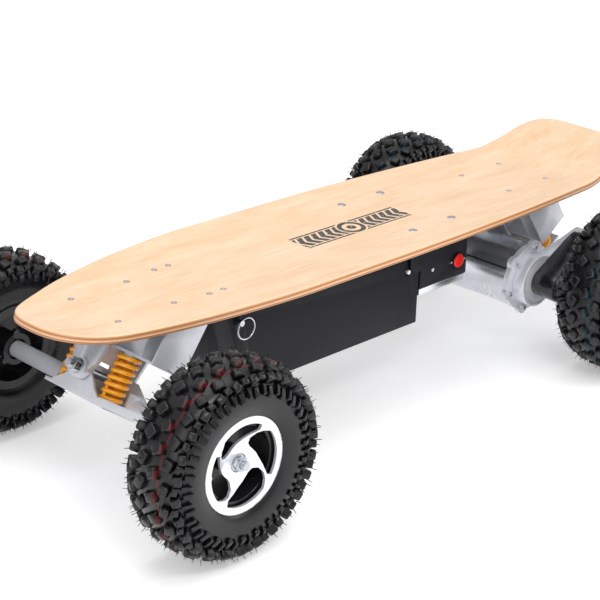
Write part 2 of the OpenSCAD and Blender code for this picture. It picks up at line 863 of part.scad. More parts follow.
// Yoke over the controller: a flange under the deck, a tongue inside the case for each hook and a
// rounded tab outside it
module rear_bracket() {
    tab_y = half_case - case_wall - 3.3;
    flange_front = hook_x + 12;
    color("#2c2c30")
        board()
            difference() {
                union() {
                    translate([rear_pair_x[1] - 16, -half_case, yoke_z])
                        cube([flange_front - rear_pair_x[1] + 16, battery_width, yoke_thick]);
                    both_sides() {
                        plate_xz(tab_y, 3) {
                            translate([hook_x, hook_z]) circle(r = 9);
                            translate([hook_x - 9, hook_z]) square([18, yoke_z + 1 - hook_z]);
                        }
                        plate_xz(half_case + 0.3, bracket_thick) {
                            translate([tab_x, tab_z]) circle(r = tab_r);
                            translate([tab_x - tab_r, tab_z]) square([2 * tab_r, yoke_z + yoke_thick - tab_z]);
                        }
                        translate([tab_x - tab_r, half_case - 6, yoke_z])
                            cube([2 * tab_r, 6.3 + bracket_thick, yoke_thick]);
                    }
                }
                at_carriage_bolts() translate([0, 0, 200]) cylinder(r = screw_r + 0.5 + screw_fit, h = 80);
                translate([hook_x, 0, hook_z]) across(2.5, -half_case, battery_width);
            }
}

// Shouldered bolts that the case's open slots hook over
module hook_bolts() {
    tab_y = half_case - case_wall - 3.3;
    color("white")
        board()
            both_sides()
                translate([hook_x, 0, hook_z]) {
                    across(2.5, tab_y - 2, half_case + 0.5 - tab_y + 2);
                    across(3.6, half_case + 0.5, 2.5);
                    across(4.5, tab_y - 4, 3.9);
                }
}

// Spring pin with a round head, cross drilled for its ring
module pull_pin() {
    board()
        translate([pin_x, 0, pin_z])
            difference() {
                union() {
                    across(pin_r, half_case - case_wall - 4, pin_head_y + 5 - half_case + case_wall + 4);
                    across(4.4, half_case + bracket_thick + 2.7, pin_head_y + 5 - half_case - bracket_thick - 2.7);
                }
                rotate([0, ring_turn, 0]) translate([0, pin_head_y + 1.5, 0]) along(ring_hole_r, -10, 20);
            }
}

module pull_pin_left() color("silver") pull_pin();
module pull_pin_right() color("silver") mirror([0, 1, 0]) pull_pin();

module pull_ring() {
    board()
        translate([pin_x, pin_head_y + 1.5, pin_z])
            rotate([0, ring_turn, 0]) translate([0, 0, -ring_r]) rotate([90, 0, 0])
                rotate_extrude() translate([ring_r, 0]) circle(r = ring_wire, $fn = 24);
}

module pull_ring_left() color("silver") pull_ring();
module pull_ring_right() color("silver") mirror([0, 1, 0]) pull_ring();

// ---- controller -----------------------------------------------------------

module controller_case() {
    color("#202024")
        board()
            difference() {
                translate([controller_back, -half_case, controller_bottom])
                    cube([controller_length, battery_width, controller_top - controller_bottom]);
                translate([controller_back + case_wall, -half_case + case_wall, controller_bottom - 1])
                    cube([controller_length - 2 * case_wall, battery_width - 2 * case_wall,
                        controller_top - controller_bottom + 1 - case_wall]);
                translate([button_x, 0, button_z]) across(button_r + 0.3, half_case - 10, 20);
            }
}

// Circuit board on four posts, with a row of capacitors and a heat spreader
module controller_board() {
    board_z = controller_bottom + 10;
    color("darkgreen")
        board()
            translate([controller_back + 12, -55, 0]) {
                for (x = [4, 76], y = [4, 106]) translate([x, y, controller_bottom]) cylinder(r = 3, h = 10 + slice);
                translate([0, 0, board_z]) cube([80, 110, 1.6]);
                for (y = [20, 45, 70]) translate([24, y, board_z + 1.6 - slice]) cylinder(r = 9, h = 35);
                translate([46, 12, board_z + 1.6 - slice]) cube([10, 80, 22]);
            }
}

// Bright cooling plate that closes the case from below
module heat_plate() {
    color("gainsboro")
        board()
            translate([controller_back + 3, -half_case + 1, controller_bottom - plate_thick])
                cube([controller_length - 3, battery_width - 2, plate_thick]);
}

// Guide ring round the button, with a screw on each side
module button_bezel() {
    color("#1c1c20")
        board()
            translate([button_x, 0, button_z])
                difference() {
                    union() {
                        across(button_r + 2, half_case, bezel_thick);
                        for (x = [-bezel_screw_x, bezel_screw_x])
                            translate([x, 0, 0]) across(3.4, half_case, bezel_thick);
                        translate([-bezel_screw_x, half_case, -2.5]) cube([2 * bezel_screw_x, bezel_thick, 5]);
                    }
                    across(button_r + 0.1, half_case - 5, 20);
                }
}

module power_button() {
    color("red")
        board()
            translate([button_x, 0, button_z]) {
                across(button_r, half_case + 0.3 + button_travel - bezel_thick - 0.2, 4);
                across(button_r - 2.5, half_case - 9, 10 + button_travel);
            }
}

// ---- drive ----------------------------------------------------------------

module at_motor() board() translate([-wheelbase / 2 + drive_centres, 0, tyre_r]) children();

module motor_can() {
    slot_pitch = 10.5;
    color("dimgray")
        at_motor()
            difference() {
                union() {
                    across(motor_r, motor_near - motor_length, motor_length - slice);
                    across(motor_r - 6, motor_near - motor_length - 8, 9);
                }
                across(motor_r - 4, motor_near - motor_length + 4, motor_length);
                for (i = [0:3])
                    translate([0, 42 + i * slot_pitch, 0])
                        rotate([-90, 0, 0]) rotate([0, 0, 16])
                            rotate_extrude(angle = 25) translate([motor_r - 2.5, -2]) square([5, 4]);
            }
}

// Cast end plate with scalloped lobes and a nose round the shaft
module motor_flange() {
    color("gainsboro")
        at_motor()
            difference() {
                union() {
                    across(motor_r + 2, motor_near, 9);
                    for (turn = [20:60:320])
                        rotate([0, turn, 0]) translate([motor_r - 3, 0, 0]) across(11, motor_near, 9);
                    across(nose_r, motor_near + 8, guard_y - motor_near - 8);
                }
                across(shaft_r + running_gap, motor_near - 1, 60);
            }
}

module toothed(teeth, pitch_r, thick) {
    difference() {
        across(pitch_r + 1.6, -thick / 2, thick);
        for (i = [0:teeth - 1])
            rotate([0, i * 360 / teeth, 0]) translate([pitch_r + 1.2, 0, 0]) across(1.9, -thick, 2 * thick);
    }
}

module motor_shaft() {
    color("silver")
        at_motor() {
            across(shaft_r, motor_near - 90, sprocket_y + 7 - motor_near + 90);
            across(30, motor_near - 85, 60);
            translate([0, sprocket_y, 0]) toothed(motor_teeth, motor_pitch_r, sprocket_thick);
            across(8, sprocket_y - 9, 9);
        }
}

// Arm from the motor's nose back over the axle tube, with a clamp round the tube
module motor_arm() {
    color("gainsboro")
        difference() {
            union() {
                at_motor()
                    plate_xz(arm_y, arm_thick) {
                        circle(r = 43);
                        polygon([[26, 8], [10, 30], [-120, 60], [-120, 36], [-60, 20], [-20, -10]]);
                    }
                board() translate([-wheelbase / 2, 0, tyre_r])
                    plate_xz(arm_y, arm_thick) {
                        circle(r = tube_r + 9);
                        polygon([[-19, 5], [-27, 44], [19, 40], [21.4, 0]]);
                    }
            }
            at_motor() across(nose_r + fit_gap, motor_near, 60);
            board() translate([-wheelbase / 2, 0, tyre_r]) across(tube_r + fit_gap, motor_near, 60);
        }
}

// Sprocket on a sleeve that is bolted to the wheel's inner ring
module wheel_sprocket() {
    sleeve_r = tube_r + 8;
    ring_y = wheel_y + inner_bearing - 2 - 5;
    color("silver")
        board()
            translate([-wheelbase / 2, 0, tyre_r])
                difference() {
                    union() {
                        translate([0, sprocket_y, 0]) toothed(wheel_teeth, wheel_pitch_r, sprocket_thick);
                        across(sleeve_r, sprocket_y, ring_y - sprocket_y);
                        across(hub_r + 4, ring_y - 4, 4);
                    }
                    across(tube_r + 2, sprocket_y - 5, 60);
                    for (turn = [0:5]) rotate([0, turn * 60, 0]) translate([38, 0, 0]) across(9, sprocket_y - 5, 10);
                }
}

// A solid belt of radius a round the motor's shaft and b round the axle, extruded along +Y from y
module belt(a, b, y, thick) {
    angle = acos((b - a) / drive_centres);
    in_a = a - flank_in;
    in_b = b - flank_in;
    translate([-wheelbase / 2, 0, tyre_r]) {
        across(b, y, thick);
        translate([drive_centres, 0, 0]) across(a, y, thick);
        plate_xz(y, thick)
            polygon([
                [in_b * cos(angle), in_b * sin(angle)], [drive_centres + in_a * cos(angle), in_a * sin(angle)],
                [drive_centres + in_a * cos(angle), -in_a * sin(angle)], [in_b * cos(angle), -in_b * sin(angle)],
            ]);
    }
}

// Chain as a band that lies just outside the sprockets' teeth
module drive_chain() {
    inner = 2.1;
    outer = 5.2;
    color("gray")
        board()
            difference() {
                belt(motor_pitch_r + outer, wheel_pitch_r + outer, sprocket_y - 2.5, 5);
                belt(motor_pitch_r + inner, wheel_pitch_r + inner, sprocket_y - 4, 8);
            }
}

// Black guard over the front of the chain's run, open towards the wheel
module chain_guard() {
    room = 9;
    wall = 2.5;
    depth = sprocket_y + 20 - guard_y;
    color("#18181a")
        board()
            difference() {
                belt(motor_pitch_r + room + wall, wheel_pitch_r + room + wall, guard_y, depth);
                belt(motor_pitch_r + room, wheel_pitch_r + room, guard_y + wall, depth);
                translate([-wheelbase / 2 - 200, 0, 0]) cube([200 + 8, 400, 400]);
                translate([-wheelbase / 2 + drive_centres, 0, tyre_r]) across(11, guard_y - 5, 20);
                translate([-wheelbase / 2, 0, tyre_r]) across(tube_r + 5, guard_y - 5, 20);
            }
}

deck();
deck_screws();
deck_nuts();
bracket_screws();
carriage_bolts();
front_base();
rear_base();
front_kingpin();
rear_kingpin();
front_pivot_bushes();
rear_pivot_bushes();
front_hanger();
rear_hanger();
front_spring_left();
front_spring_right();
rear_spring_left();
rear_spring_right();
front_axles();
rear_axles();
front_axle_nuts();
rear_axle_nuts();
tyre_front_left();
tyre_front_right();
tyre_rear_left();
tyre_rear_right();
rim_face_front_left();
rim_face_front_right();
rim_face_rear_left();
rim_face_rear_right();
rim_barrel_front_left();
rim_barrel_front_right();
rim_barrel_rear_left();
rim_barrel_rear_right();
bearings_front_left();
bearings_front_right();
bearings_rear_left();
bearings_rear_right();
battery_case();
battery_lid();
battery_cells();
battery_bracket_left();
battery_bracket_right();
rear_bracket();
hook_bolts();
pull_pin_left();
pull_pin_right();
pull_ring_left();
pull_ring_right();
controller_case();
controller_board();
heat_plate();
button_bezel();
power_button();
motor_can();
motor_flange();
motor_shaft();
motor_arm();
wheel_sprocket();
drive_chain();
chain_guard();
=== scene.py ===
"""Looks of an electric skateboard with pneumatic tyres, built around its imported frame.

Every size is in metres unless its name says otherwise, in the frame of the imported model:
+X towards the nose, +Y towards the near side, +Z up, with the floor at z = 0.
"""

import json
import logging
import math
import random
from dataclasses import dataclass, field
from enum import Enum
from functools import partial
from itertools import product
from typing import Callable, Dict, List, Sequence, Tuple

import bpy
from mathutils import Matrix, Vector

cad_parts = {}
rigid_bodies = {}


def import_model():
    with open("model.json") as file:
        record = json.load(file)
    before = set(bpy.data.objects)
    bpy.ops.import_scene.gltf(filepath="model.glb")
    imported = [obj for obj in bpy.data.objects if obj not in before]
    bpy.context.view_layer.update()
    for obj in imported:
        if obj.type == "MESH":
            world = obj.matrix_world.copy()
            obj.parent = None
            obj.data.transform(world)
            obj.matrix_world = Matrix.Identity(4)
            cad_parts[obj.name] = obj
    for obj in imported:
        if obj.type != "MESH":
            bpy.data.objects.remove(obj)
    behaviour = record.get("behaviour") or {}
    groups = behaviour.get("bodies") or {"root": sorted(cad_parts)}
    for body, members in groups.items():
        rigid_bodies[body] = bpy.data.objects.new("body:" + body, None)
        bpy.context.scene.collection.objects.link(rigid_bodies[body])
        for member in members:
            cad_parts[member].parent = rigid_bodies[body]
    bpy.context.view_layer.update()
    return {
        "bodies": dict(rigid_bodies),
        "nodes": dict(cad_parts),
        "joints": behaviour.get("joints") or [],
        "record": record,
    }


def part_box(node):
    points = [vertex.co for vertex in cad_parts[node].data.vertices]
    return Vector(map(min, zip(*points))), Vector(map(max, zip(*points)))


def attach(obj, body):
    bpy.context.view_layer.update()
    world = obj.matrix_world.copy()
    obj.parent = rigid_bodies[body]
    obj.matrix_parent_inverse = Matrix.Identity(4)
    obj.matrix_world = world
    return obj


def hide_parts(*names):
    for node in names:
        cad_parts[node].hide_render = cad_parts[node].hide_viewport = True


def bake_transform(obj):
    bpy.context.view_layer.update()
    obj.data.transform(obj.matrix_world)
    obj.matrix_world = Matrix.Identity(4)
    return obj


log = logging.getLogger("skateboard")

MM = 0.001
TURN = 2 * math.pi

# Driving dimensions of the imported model, in millimetres
MIDDLE_X = 35.75
WHEELBASE = 889.0
REAR_AXLE_X = MIDDLE_X - WHEELBASE / 2
FRONT_AXLE_X = MIDDLE_X + WHEELBASE / 2
AXLE_Z = 140.0
DRIVE_CENTRES = 92.4

Point = Tuple[float, float]
Colour = Tuple[float, float, float]


def paint_chip(red: int, green: int, blue: int) -> Colour:
    """Turns a display colour, 0 to 255 a channel, into a linear one."""

    def linear(channel: float) -> float:
        """Undoes the display curve."""
        return channel / 12.92 if channel <= 0.04045 else ((channel + 0.055) / 1.055) ** 2.4

    return tuple(linear(channel / 255) for channel in (red, green, blue))


# ---- shader building -------------------------------------------------------


def operator(operation: str, swapped: bool = False) -> Callable[["Value", object], "Value"]:
    """Makes a method of Value that adds one Math node.

    Args:
        operation: The Math node's operation.
        swapped: Whether the value is the operation's second number.

    Returns:
        The method.
    """

    def method(self: "Value", other: object = 0.0) -> "Value":
        """Works out the value and another, in the operation's order."""
        first, second = (other, self) if swapped else (self, other)
        return self.shader.node("ShaderNodeMath", {"operation": operation}, {0: first, 1: second})

    return method


class Value:
    """A shader socket that takes part in Python arithmetic by adding Math nodes."""

    __add__ = __radd__ = operator("ADD")
    __sub__ = operator("SUBTRACT")
    __rsub__ = operator("SUBTRACT", swapped=True)
    __mul__ = __rmul__ = operator("MULTIPLY")
    __mod__ = operator("FLOORED_MODULO")
    __lt__ = operator("LESS_THAN")
    __gt__ = operator("GREATER_THAN")
    __abs__ = operator("ABSOLUTE")
    power = operator("POWER")
    highest = operator("MAXIMUM")

    def __init__(self, shader: "Shader", socket: bpy.types.NodeSocket) -> None:
        """Keeps the socket and the shader that its Math nodes go into."""
        self.shader = shader
        self.socket = socket


class Shader:
    """One finish's node tree: a Principled BSDF and the pattern that feeds it."""

    def __init__(self, name: str) -> None:
        """Starts a material with a bare Principled BSDF."""
        self.material = bpy.data.materials.new(name)
        self.material.use_nodes = True
        self.tree = self.material.node_tree
        self.tree.nodes.clear()
        output = self.tree.nodes.new("ShaderNodeOutputMaterial")
        self.surface = self.tree.nodes.new("ShaderNodeBsdfPrincipled")
        self.tree.links.new(self.surface.outputs["BSDF"], output.inputs["Surface"])

    def node(
        self, kind: str, settings: Dict[str, object], inputs: Dict[object, object], output: object = 0
    ) -> Value:
        """Adds any node.

        Args:
            kind: The node's type.
            settings: Properties set before its sockets are fed; "stops" fills a colour ramp.
            inputs: Numbers, colours or Values by socket name or index.
            output: Which output to hand back.

        Returns:
            The chosen output.
        """
        made = self.tree.nodes.new(kind)
        for key, setting in settings.items():
            if key == "stops":
                self._fill_ramp(made.color_ramp, setting)
            else:
                setattr(made, key, setting)
        for key, given in inputs.items():
            if isinstance(given, Value):
                self.tree.links.new(given.socket, made.inputs[key])
            else:
                made.inputs[key].default_value = given
        return Value(self, made.outputs[output])

    @staticmethod
    def _fill_ramp(ramp: bpy.types.ColorRamp, stops: Sequence[Tuple[float, Colour]]) -> None:
        """Sets a ramp's stops."""
        while len(ramp.elements) < len(stops):
            ramp.elements.new(1.0)
        for element, (position, colour) in zip(ramp.elements, stops):
            element.position = position
            element.color = (*colour, 1.0)

    def place(self, stretch: Sequence[float] = (1, 1, 1)) -> Value:
        """Gives Object coordinates, stretched along the axes."""
        spot = self.node("ShaderNodeTexCoord", {}, {}, "Object")
        return self.node("ShaderNodeMapping", {}, {"Vector": spot, "Scale": tuple(stretch)})

    def axes(self) -> Tuple[Value, Value, Value]:
        """Gives Object coordinates as three values."""
        spot = self.node("ShaderNodeTexCoord", {}, {}, "Object")
        apart = self.node("ShaderNodeSeparateXYZ", {}, {0: spot})
        return tuple(Value(self, socket) for socket in apart.socket.node.outputs)

    def noise(self, spot: Value, scale: float, detail: float = 3.0, roughness: float = 0.55) -> Value:
        """Gives a cloudy pattern of about `scale` patches a metre."""
        inputs = {"Vector": spot, "Scale": scale, "Detail": detail, "Roughness": roughness}
        return self.node("ShaderNodeTexNoise", {}, inputs)

    def blend(self, factor: object, low: object, high: object) -> Value:
        """Mixes two colours."""
        inputs = {0: factor}
        for key, colour in ((6, low), (7, high)):
            inputs[key] = colour if isinstance(colour, Value) else (*colour, 1.0)
        return self.node("ShaderNodeMix", {"data_type": "RGBA"}, inputs, 2)

    def spread(self, value: Value, low: float, high: float) -> Value:
        """Maps a range of a value onto 0 to 1, held at its ends."""
        return self.node("ShaderNodeMapRange", {}, {"Value": value, 1: low, 2: high, 3: 0.0, 4: 1.0})

    def bump(self, height: Value, distance: float, strength: float = 1.0) -> None:
        """Feeds a height pattern to the normal."""
        inputs = {"Height": height, "Distance": distance, "Strength": strength}
        self.feed("Normal", self.node("ShaderNodeBump", {}, inputs))

    def feed(self, name: str, given: object) -> None:
        """Sets or links one of the surface's own sockets."""
        if isinstance(given, Value):
            self.tree.links.new(given.socket, self.surface.inputs[name])
        elif isinstance(given, tuple):
            self.surface.inputs[name].default_value = (*given, 1.0)
        else:
            self.surface.inputs[name].default_value = given


@dataclass(frozen=True)
class Finish:
    """A painted, plated, moulded or machined surface."""

    name: str
    base: Colour
    shade: Colour
    roughness: float = 0.4
    rough_spread: float = 0.15
    metallic: float = 0.0
    cloud_scale: float = 18.0
    grain_scale: float = 900.0
    grain_depth: float = 0.05 * MM
    stretch: Tuple[float, float, float] = (1, 1, 1)
    coat: float = 0.0
    specular: float = 0.5

    def material(self) -> bpy.types.Material:
        """Builds the finish: cloudy colour, uneven gloss and a fine grain in relief."""
        shader = Shader(self.name)
        cloud = shader.spread(shader.noise(shader.place(), self.cloud_scale, 4.0), 0.3, 0.7)
        grain = shader.noise(shader.place(self.stretch), self.grain_scale, 2.0)
        shader.feed("Base Color", shader.blend(cloud * 0.7 + grain * 0.3, self.base, self.shade))
        uneven = (cloud - 0.5) * self.rough_spread + (grain - 0.5) * self.rough_spread
        shader.feed("Roughness", uneven + self.roughness)
        shader.feed("Metallic", self.metallic)
        shader.feed("Coat Weight", self.coat)
        shader.feed("Specular IOR Level", self.specular)
        shader.bump(grain, self.grain_depth)
        return shader.material


@dataclass(frozen=True)
class DeckWood:
    """Clear maple veneer with a printed band, plies along the edge, and a bottom veneer coloured near black
    as painted shade under the board.
    """

    name: str = "maple_plywood"
    veneer: float = 0.07
    print_above: float = 262 * MM
    band_from: float = -120 * MM
    band_to: float = 108 * MM
    band_half: float = 23 * MM
    bar_pitch: float = 15 * MM

    def material(self) -> bpy.types.Material:
        """Builds the wood from its long grain, its figure, small knots, the plies and the printed band."""
        shader = Shader(self.name)
        long_grain = shader.noise(shader.place((1.1, 26, 26)), 9.0, 6.0, 0.62)
        figure = shader.noise(shader.place((2.2, 7, 7)), 5.0, 3.0)
        fibre = shader.noise(shader.place((14, 420, 420)), 3.0, 3.0)
        tone = shader.spread(figure, 0.36, 0.64) * 0.5 + shader.spread(long_grain, 0.38, 0.66) * 0.5
        wood = shader.blend(tone, paint_chip(240, 209, 176), paint_chip(226, 186, 144))
        wood = shader.blend(shader.spread(fibre, 0.52, 0.75) * 0.32, wood, paint_chip(196, 148, 104))
        wood = shader.blend(self._flecks(shader) * 0.5, wood, paint_chip(168, 118, 78))
        wood = shader.blend(self._print(shader), wood, paint_chip(27, 25, 26))
        depth = shader.node("ShaderNodeAttribute", {"attribute_name": "ply_depth"}, {}, "Fac")
        plies = self._plies(shader, depth)
        edge = (depth > self.veneer) * (depth < 1 - self.veneer)
        # Painted shade: the bottom veneer is coloured near black to darken the board's underside and what the
        # motor can reflects of it.
        wood = shader.blend(depth > 1 - self.veneer, wood, paint_chip(22, 21, 22))
        shader.feed("Base Color", shader.blend(edge, wood, plies))
        shader.feed("Roughness", long_grain * 0.12 + edge * 0.15 + 0.3)
        shader.feed("Coat Weight", 0.25)
        shader.feed("Coat Roughness", 0.18)
        shader.bump(fibre, 0.03 * MM, 0.6)
        return shader.material

    def _flecks(self, shader: Shader) -> Value:
        """Gives short dark flecks and pin knots, scattered thinly."""
        inputs = {"Vector": shader.place((0.45, 1.5, 1.0)), "Scale": 26.0, "Randomness": 1.0}
        cells = shader.node("ShaderNodeTexVoronoi", {}, inputs)
        patch = shader.noise(shader.place(), 7.0, 2.0)
        return shader.spread(cells, 0.035, 0.015) * (patch > 0.56)

    def _plies(self, shader: Shader, depth: Value) -> Value:
        """Gives alternating light and dark plies, read by depth below the top face."""
        light, honey, brown = paint_chip(232, 190, 150), paint_chip(206, 152, 106), paint_chip(164, 104, 62)
        tints = (light, honey, brown, honey, light, brown, honey)
        step, glue = 1 / len(tints), 0.015
        stops = []
        for number, tint in enumerate(tints):
            stops += [(number * step + glue, tint), ((number + 1) * step - glue, tint)]
        bands = shader.node("ShaderNodeValToRGB", {"stops": stops}, {"Fac": depth})
        streak = shader.noise(shader.place((4, 30, 200)), 12.0, 4.0)
        return shader.blend(shader.spread(streak, 0.45, 0.75) * 0.4, bands, brown)

    def _print(self, shader: Shader) -> Value:
        """Masks slanted bars either side of a ring, between two rules, worn a little."""
        x, y, z = shader.axes()
        half, middle = self.band_half, (self.band_from + self.band_to) / 2
        inside = (x > self.band_from) * (x < self.band_to) * (abs(y) < half)
        slant = (x + abs(y) * 0.5) % self.bar_pitch
        bars = (slant > self.bar_pitch * 0.3) * (abs(y) < half * 0.74)
        rules = abs(y) > half * 0.84
        out = ((x - middle).power(2.0) + y.power(2.0)).power(0.5)
        clear = out > half * 1.12
        ring = (out < half * 0.98) * (out > half * 0.66)
        hub = out < half * 0.34
        worn = shader.noise(shader.place(), 260.0, 3.0) < 0.66
        marks = (bars * clear).highest(rules * clear).highest(ring).highest(hub)
        return inside * worn * (z > self.print_above) * marks


@dataclass(frozen=True)
class TyreRubber:
    """Black rubber, satin on the sidewalls, with a thin coloured line left round the tread."""

    name: str
    line: Colour
    axle: Tuple[float, float, float]
    line_y: float = 17 * MM
    line_half: float = 0.9 * MM
    line_foot: float = 128 * MM
    line_top: float = 139 * MM

    def material(self) -> bpy.types.Material:
        """Builds the rubber from its mould grain, dust and the coloured line."""
        shader = Shader(self.name)
        grain = shader.noise(shader.place(), 700.0, 3.0)
        cloud = shader.spread(shader.noise(shader.place(), 22.0, 4.0), 0.35, 0.7)
        x, y, z = shader.axes()
        radius = ((x - self.axle[0]).power(2.0) + (z - self.axle[2]).power(2.0)).power(0.5)
        across = abs(y - self.axle[1] - self.line_y)
        wobble = shader.noise(shader.place(), 60.0, 2.0) * 1.6 * MM
        line = (across < wobble + self.line_half) * (radius > self.line_foot) * (radius < self.line_top)
        rubber = shader.blend(cloud, paint_chip(7, 7, 9), paint_chip(16, 16, 20))
        shader.feed("Base Color", shader.blend(line * 0.22, rubber, self.line))
        shader.feed("Roughness", cloud * 0.14 + grain * 0.1 + 0.2)
        shader.feed("Specular IOR Level", 0.42)
        shader.bump(grain, 0.06 * MM, 0.6)
        return shader.material


class Paintbox:
    """Makes each finish once, by the name of the record's material slot."""

    FINISHES = (
        Finish("zinc_steel", paint_chip(205, 207, 212), paint_chip(172, 175, 182), 0.28, 0.16, 1.0, 60),
        Finish("black_steel", paint_chip(30, 30, 33), paint_chip(48, 48, 52), 0.38, 0.15, 0.6, 30),
        Finish("silver_paint", paint_chip(222, 224, 229), paint_chip(202, 205, 212), 0.36, 0.14, 0.4, 26,
               1300, 0.04 * MM, coat=0.25),
        Finish("bush_polymer", paint_chip(214, 160, 60), paint_chip(190, 130, 40), 0.45, 0.1, 0.0, 60),
        Finish("amber_spring", paint_chip(255, 182, 20), paint_chip(248, 152, 6), 0.3, 0.14, 0.0, 70,
               1400, 0.03 * MM, coat=0.4),
        Finish("machined_rim", paint_chip(246, 247, 249), paint_chip(220, 223, 228), 0.22, 0.12, 0.55, 40,
               900, 0.02 * MM, (1, 1, 8), coat=0.3),
        Finish("black_rim", paint_chip(16, 16, 18), paint_chip(30, 30, 33), 0.26, 0.14, 0.2, 30, coat=0.2),
        Finish("black_case", paint_chip(19, 19, 25), paint_chip(27, 27, 34), 0.52, 0.1, 0.0, 14,
               1500, 0.05 * MM, specular=0.2),
        Finish("cell_wrap", paint_chip(30, 80, 150), paint_chip(22, 62, 122), 0.35, 0.1, 0.0, 40),
        Finish("white_bolt", paint_chip(244, 244, 242), paint_chip(222, 222, 220), 0.35, 0.1, 0.1, 90),
        Finish("board_green", paint_chip(24, 92, 56), paint_chip(16, 70, 44), 0.4, 0.1, 0.0, 50),
        Finish("bare_aluminium", paint_chip(226, 228, 234), paint_chip(210, 213, 220), 0.23, 0.03, 0.9, 30,
               600, 0.03 * MM, (1, 14, 1)),
        Finish("black_plastic", paint_chip(12, 12, 14), paint_chip(22, 22, 25), 0.26, 0.12, 0.0, 30,
               coat=0.3),
        Finish("red_button", paint_chip(226, 34, 22), paint_chip(200, 22, 14), 0.28, 0.1, 0.0, 60, coat=0.35),
        Finish("chain_steel", paint_chip(140, 140, 146), paint_chip(92, 92, 98), 0.34, 0.2, 0.95, 120),
        Finish("tyre_rubber", paint_chip(30, 30, 33), paint_chip(46, 46, 51), 0.34, 0.12),
    )

    def __init__(self) -> None:
        """Makes every finish."""
        self.made = {finish.name: finish.material() for finish in self.FINISHES}
        self.made["maple_ply"] = DeckWood().material()

    def dress(self, piece: bpy.types.Object, slot: str) -> None:
        """Gives a piece the finish of a slot."""
        piece.data.materials.clear()
        piece.data.materials.append(self.made[slot])


# ---- bench tools -----------------------------------------------------------


def deselect() -> None:
    """Leaves nothing selected."""
    if bpy.context.object and bpy.context.object.mode != "OBJECT":
        bpy.ops.object.mode_set(mode="OBJECT")
    bpy.ops.object.select_all(action="DESELECT")


def hold(piece: bpy.types.Object) -> None:
    """Selects one piece alone and makes it active."""
    deselect()
    piece.select_set(True)
    bpy.context.view_layer.objects.active = piece


def edit(piece: bpy.types.Object, *steps: Callable[[], object]) -> None:
    """Runs edit-mode operators in turn, each on the whole of a piece."""
    hold(piece)
    bpy.ops.object.mode_set(mode="EDIT")
    for step in steps:
        bpy.ops.mesh.select_all(action="SELECT")
        step()
    bpy.ops.object.mode_set(mode="OBJECT")


def weld(threshold: float) -> Callable[[], object]:
    """The step that merges vertices closer than a threshold."""
    return partial(bpy.ops.mesh.remove_doubles, threshold=threshold)


def face_out() -> None:
    """The step that turns faces outwards."""
    bpy.ops.mesh.normals_make_consistent(inside=False)


def settle(piece: bpy.types.Object) -> None:
    """Moves a piece's place into its mesh."""
    hold(piece)
    bpy.ops.object.transform_apply(location=True, rotation=True, scale=True)


def modify(piece: bpy.types.Object, kind: str, **settings: object) -> None:
    """Adds a modifier with its settings and applies it."""
    hold(piece)
    modifier = piece.modifiers.new(kind.lower(), kind)
    for key, setting in settings.items():
        setattr(modifier, key, setting)
    bpy.ops.object.modifier_apply(modifier=modifier.name)


def break_edges(piece: bpy.types.Object, width: float, segments: int, degrees: float) -> None:
    """Rounds the edges that are sharper than an angle."""
    sharp = math.radians(degrees)
    modify(piece, "BEVEL", width=width, segments=segments, limit_method="ANGLE", angle_limit=sharp)


def carve(piece: bpy.types.Object, cutter: bpy.types.Object) -> None:
    """Cuts one piece out of another, and removes the cutter."""
    modify(piece, "BOOLEAN", object=cutter, operation="DIFFERENCE", solver="EXACT")
    bpy.data.objects.remove(cutter)


def smooth(piece: bpy.types.Object, degrees: float = 35) -> None:
    """Shades a piece smooth except at its sharp edges."""
    hold(piece)
    bpy.ops.object.shade_smooth_by_angle(angle=math.radians(degrees))


def loop_of(name: str, points: Sequence[Sequence[float]], filled: bool) -> bpy.types.Object:
    """A closed loop of edges, or one face, through the given points."""
    deselect()
    bpy.ops.mesh.primitive_circle_add(vertices=len(points), fill_type="NGON" if filled else "NOTHING")
    piece = bpy.context.object
    piece.name = name
    piece.data.name = name
    for vertex, point in zip(piece.data.vertices, points):
        vertex.co = point
    return piece


def revolve(name: str, profile: Sequence[Point], steps: int = 64) -> bpy.types.Object:
    """Turns a closed profile of (radius, height) about the Z axis."""
    piece = loop_of(name, [(radius, 0, height) for radius, height in profile], False)
    spin = partial(bpy.ops.mesh.spin, steps=steps, angle=TURN, center=(0, 0, 0), axis=(0, 0, 1))
    edit(piece, spin, weld(0.01 * MM), face_out)
    return piece


def extruded(name: str, outline: Sequence[Point], height: float) -> bpy.types.Object:
    """A plate with an outline in X and Y, raised along +Z."""
    piece = loop_of(name, [(x, y, 0) for x, y in outline], True)
    rise = {"value": (0, 0, height)}
    edit(piece, partial(bpy.ops.mesh.extrude_region_move, TRANSFORM_OT_translate=rise), face_out)
    return piece


def wire(name: str, points: Sequence[Sequence[float]], thickness: float) -> bpy.types.Object:
    """A round wire bent along a path, with a straight stretch from its last point back to its first."""
    hold(loop_of(name, points, False))
    bpy.ops.object.convert(target="CURVE")
    path = bpy.context.object.data
    path.bevel_depth = thickness / 2
    path.bevel_resolution = 3
    bpy.ops.object.convert(target="MESH")
    piece = bpy.context.object
    edit(piece, face_out)
    smooth(piece, 60)
    return piece


def stamped(piece: bpy.types.Object, places: Sequence[Matrix], name: str) -> bpy.types.Object:
    """Copies a piece to many places, each copy with its own mesh, and joins the copies.

    Args:
        piece: The pattern, removed afterwards.
        places: Where each copy goes.
        name: The joined piece's name.

    Returns:
        The joined piece.
    """
    copies = []
    for place in places:
        copy = piece.copy()
        copy.data = piece.data.copy()
        copy.data.transform(place)
        bpy.context.collection.objects.link(copy)
        copies.append(copy)
    bpy.data.objects.remove(piece)
    return joined(copies, name)


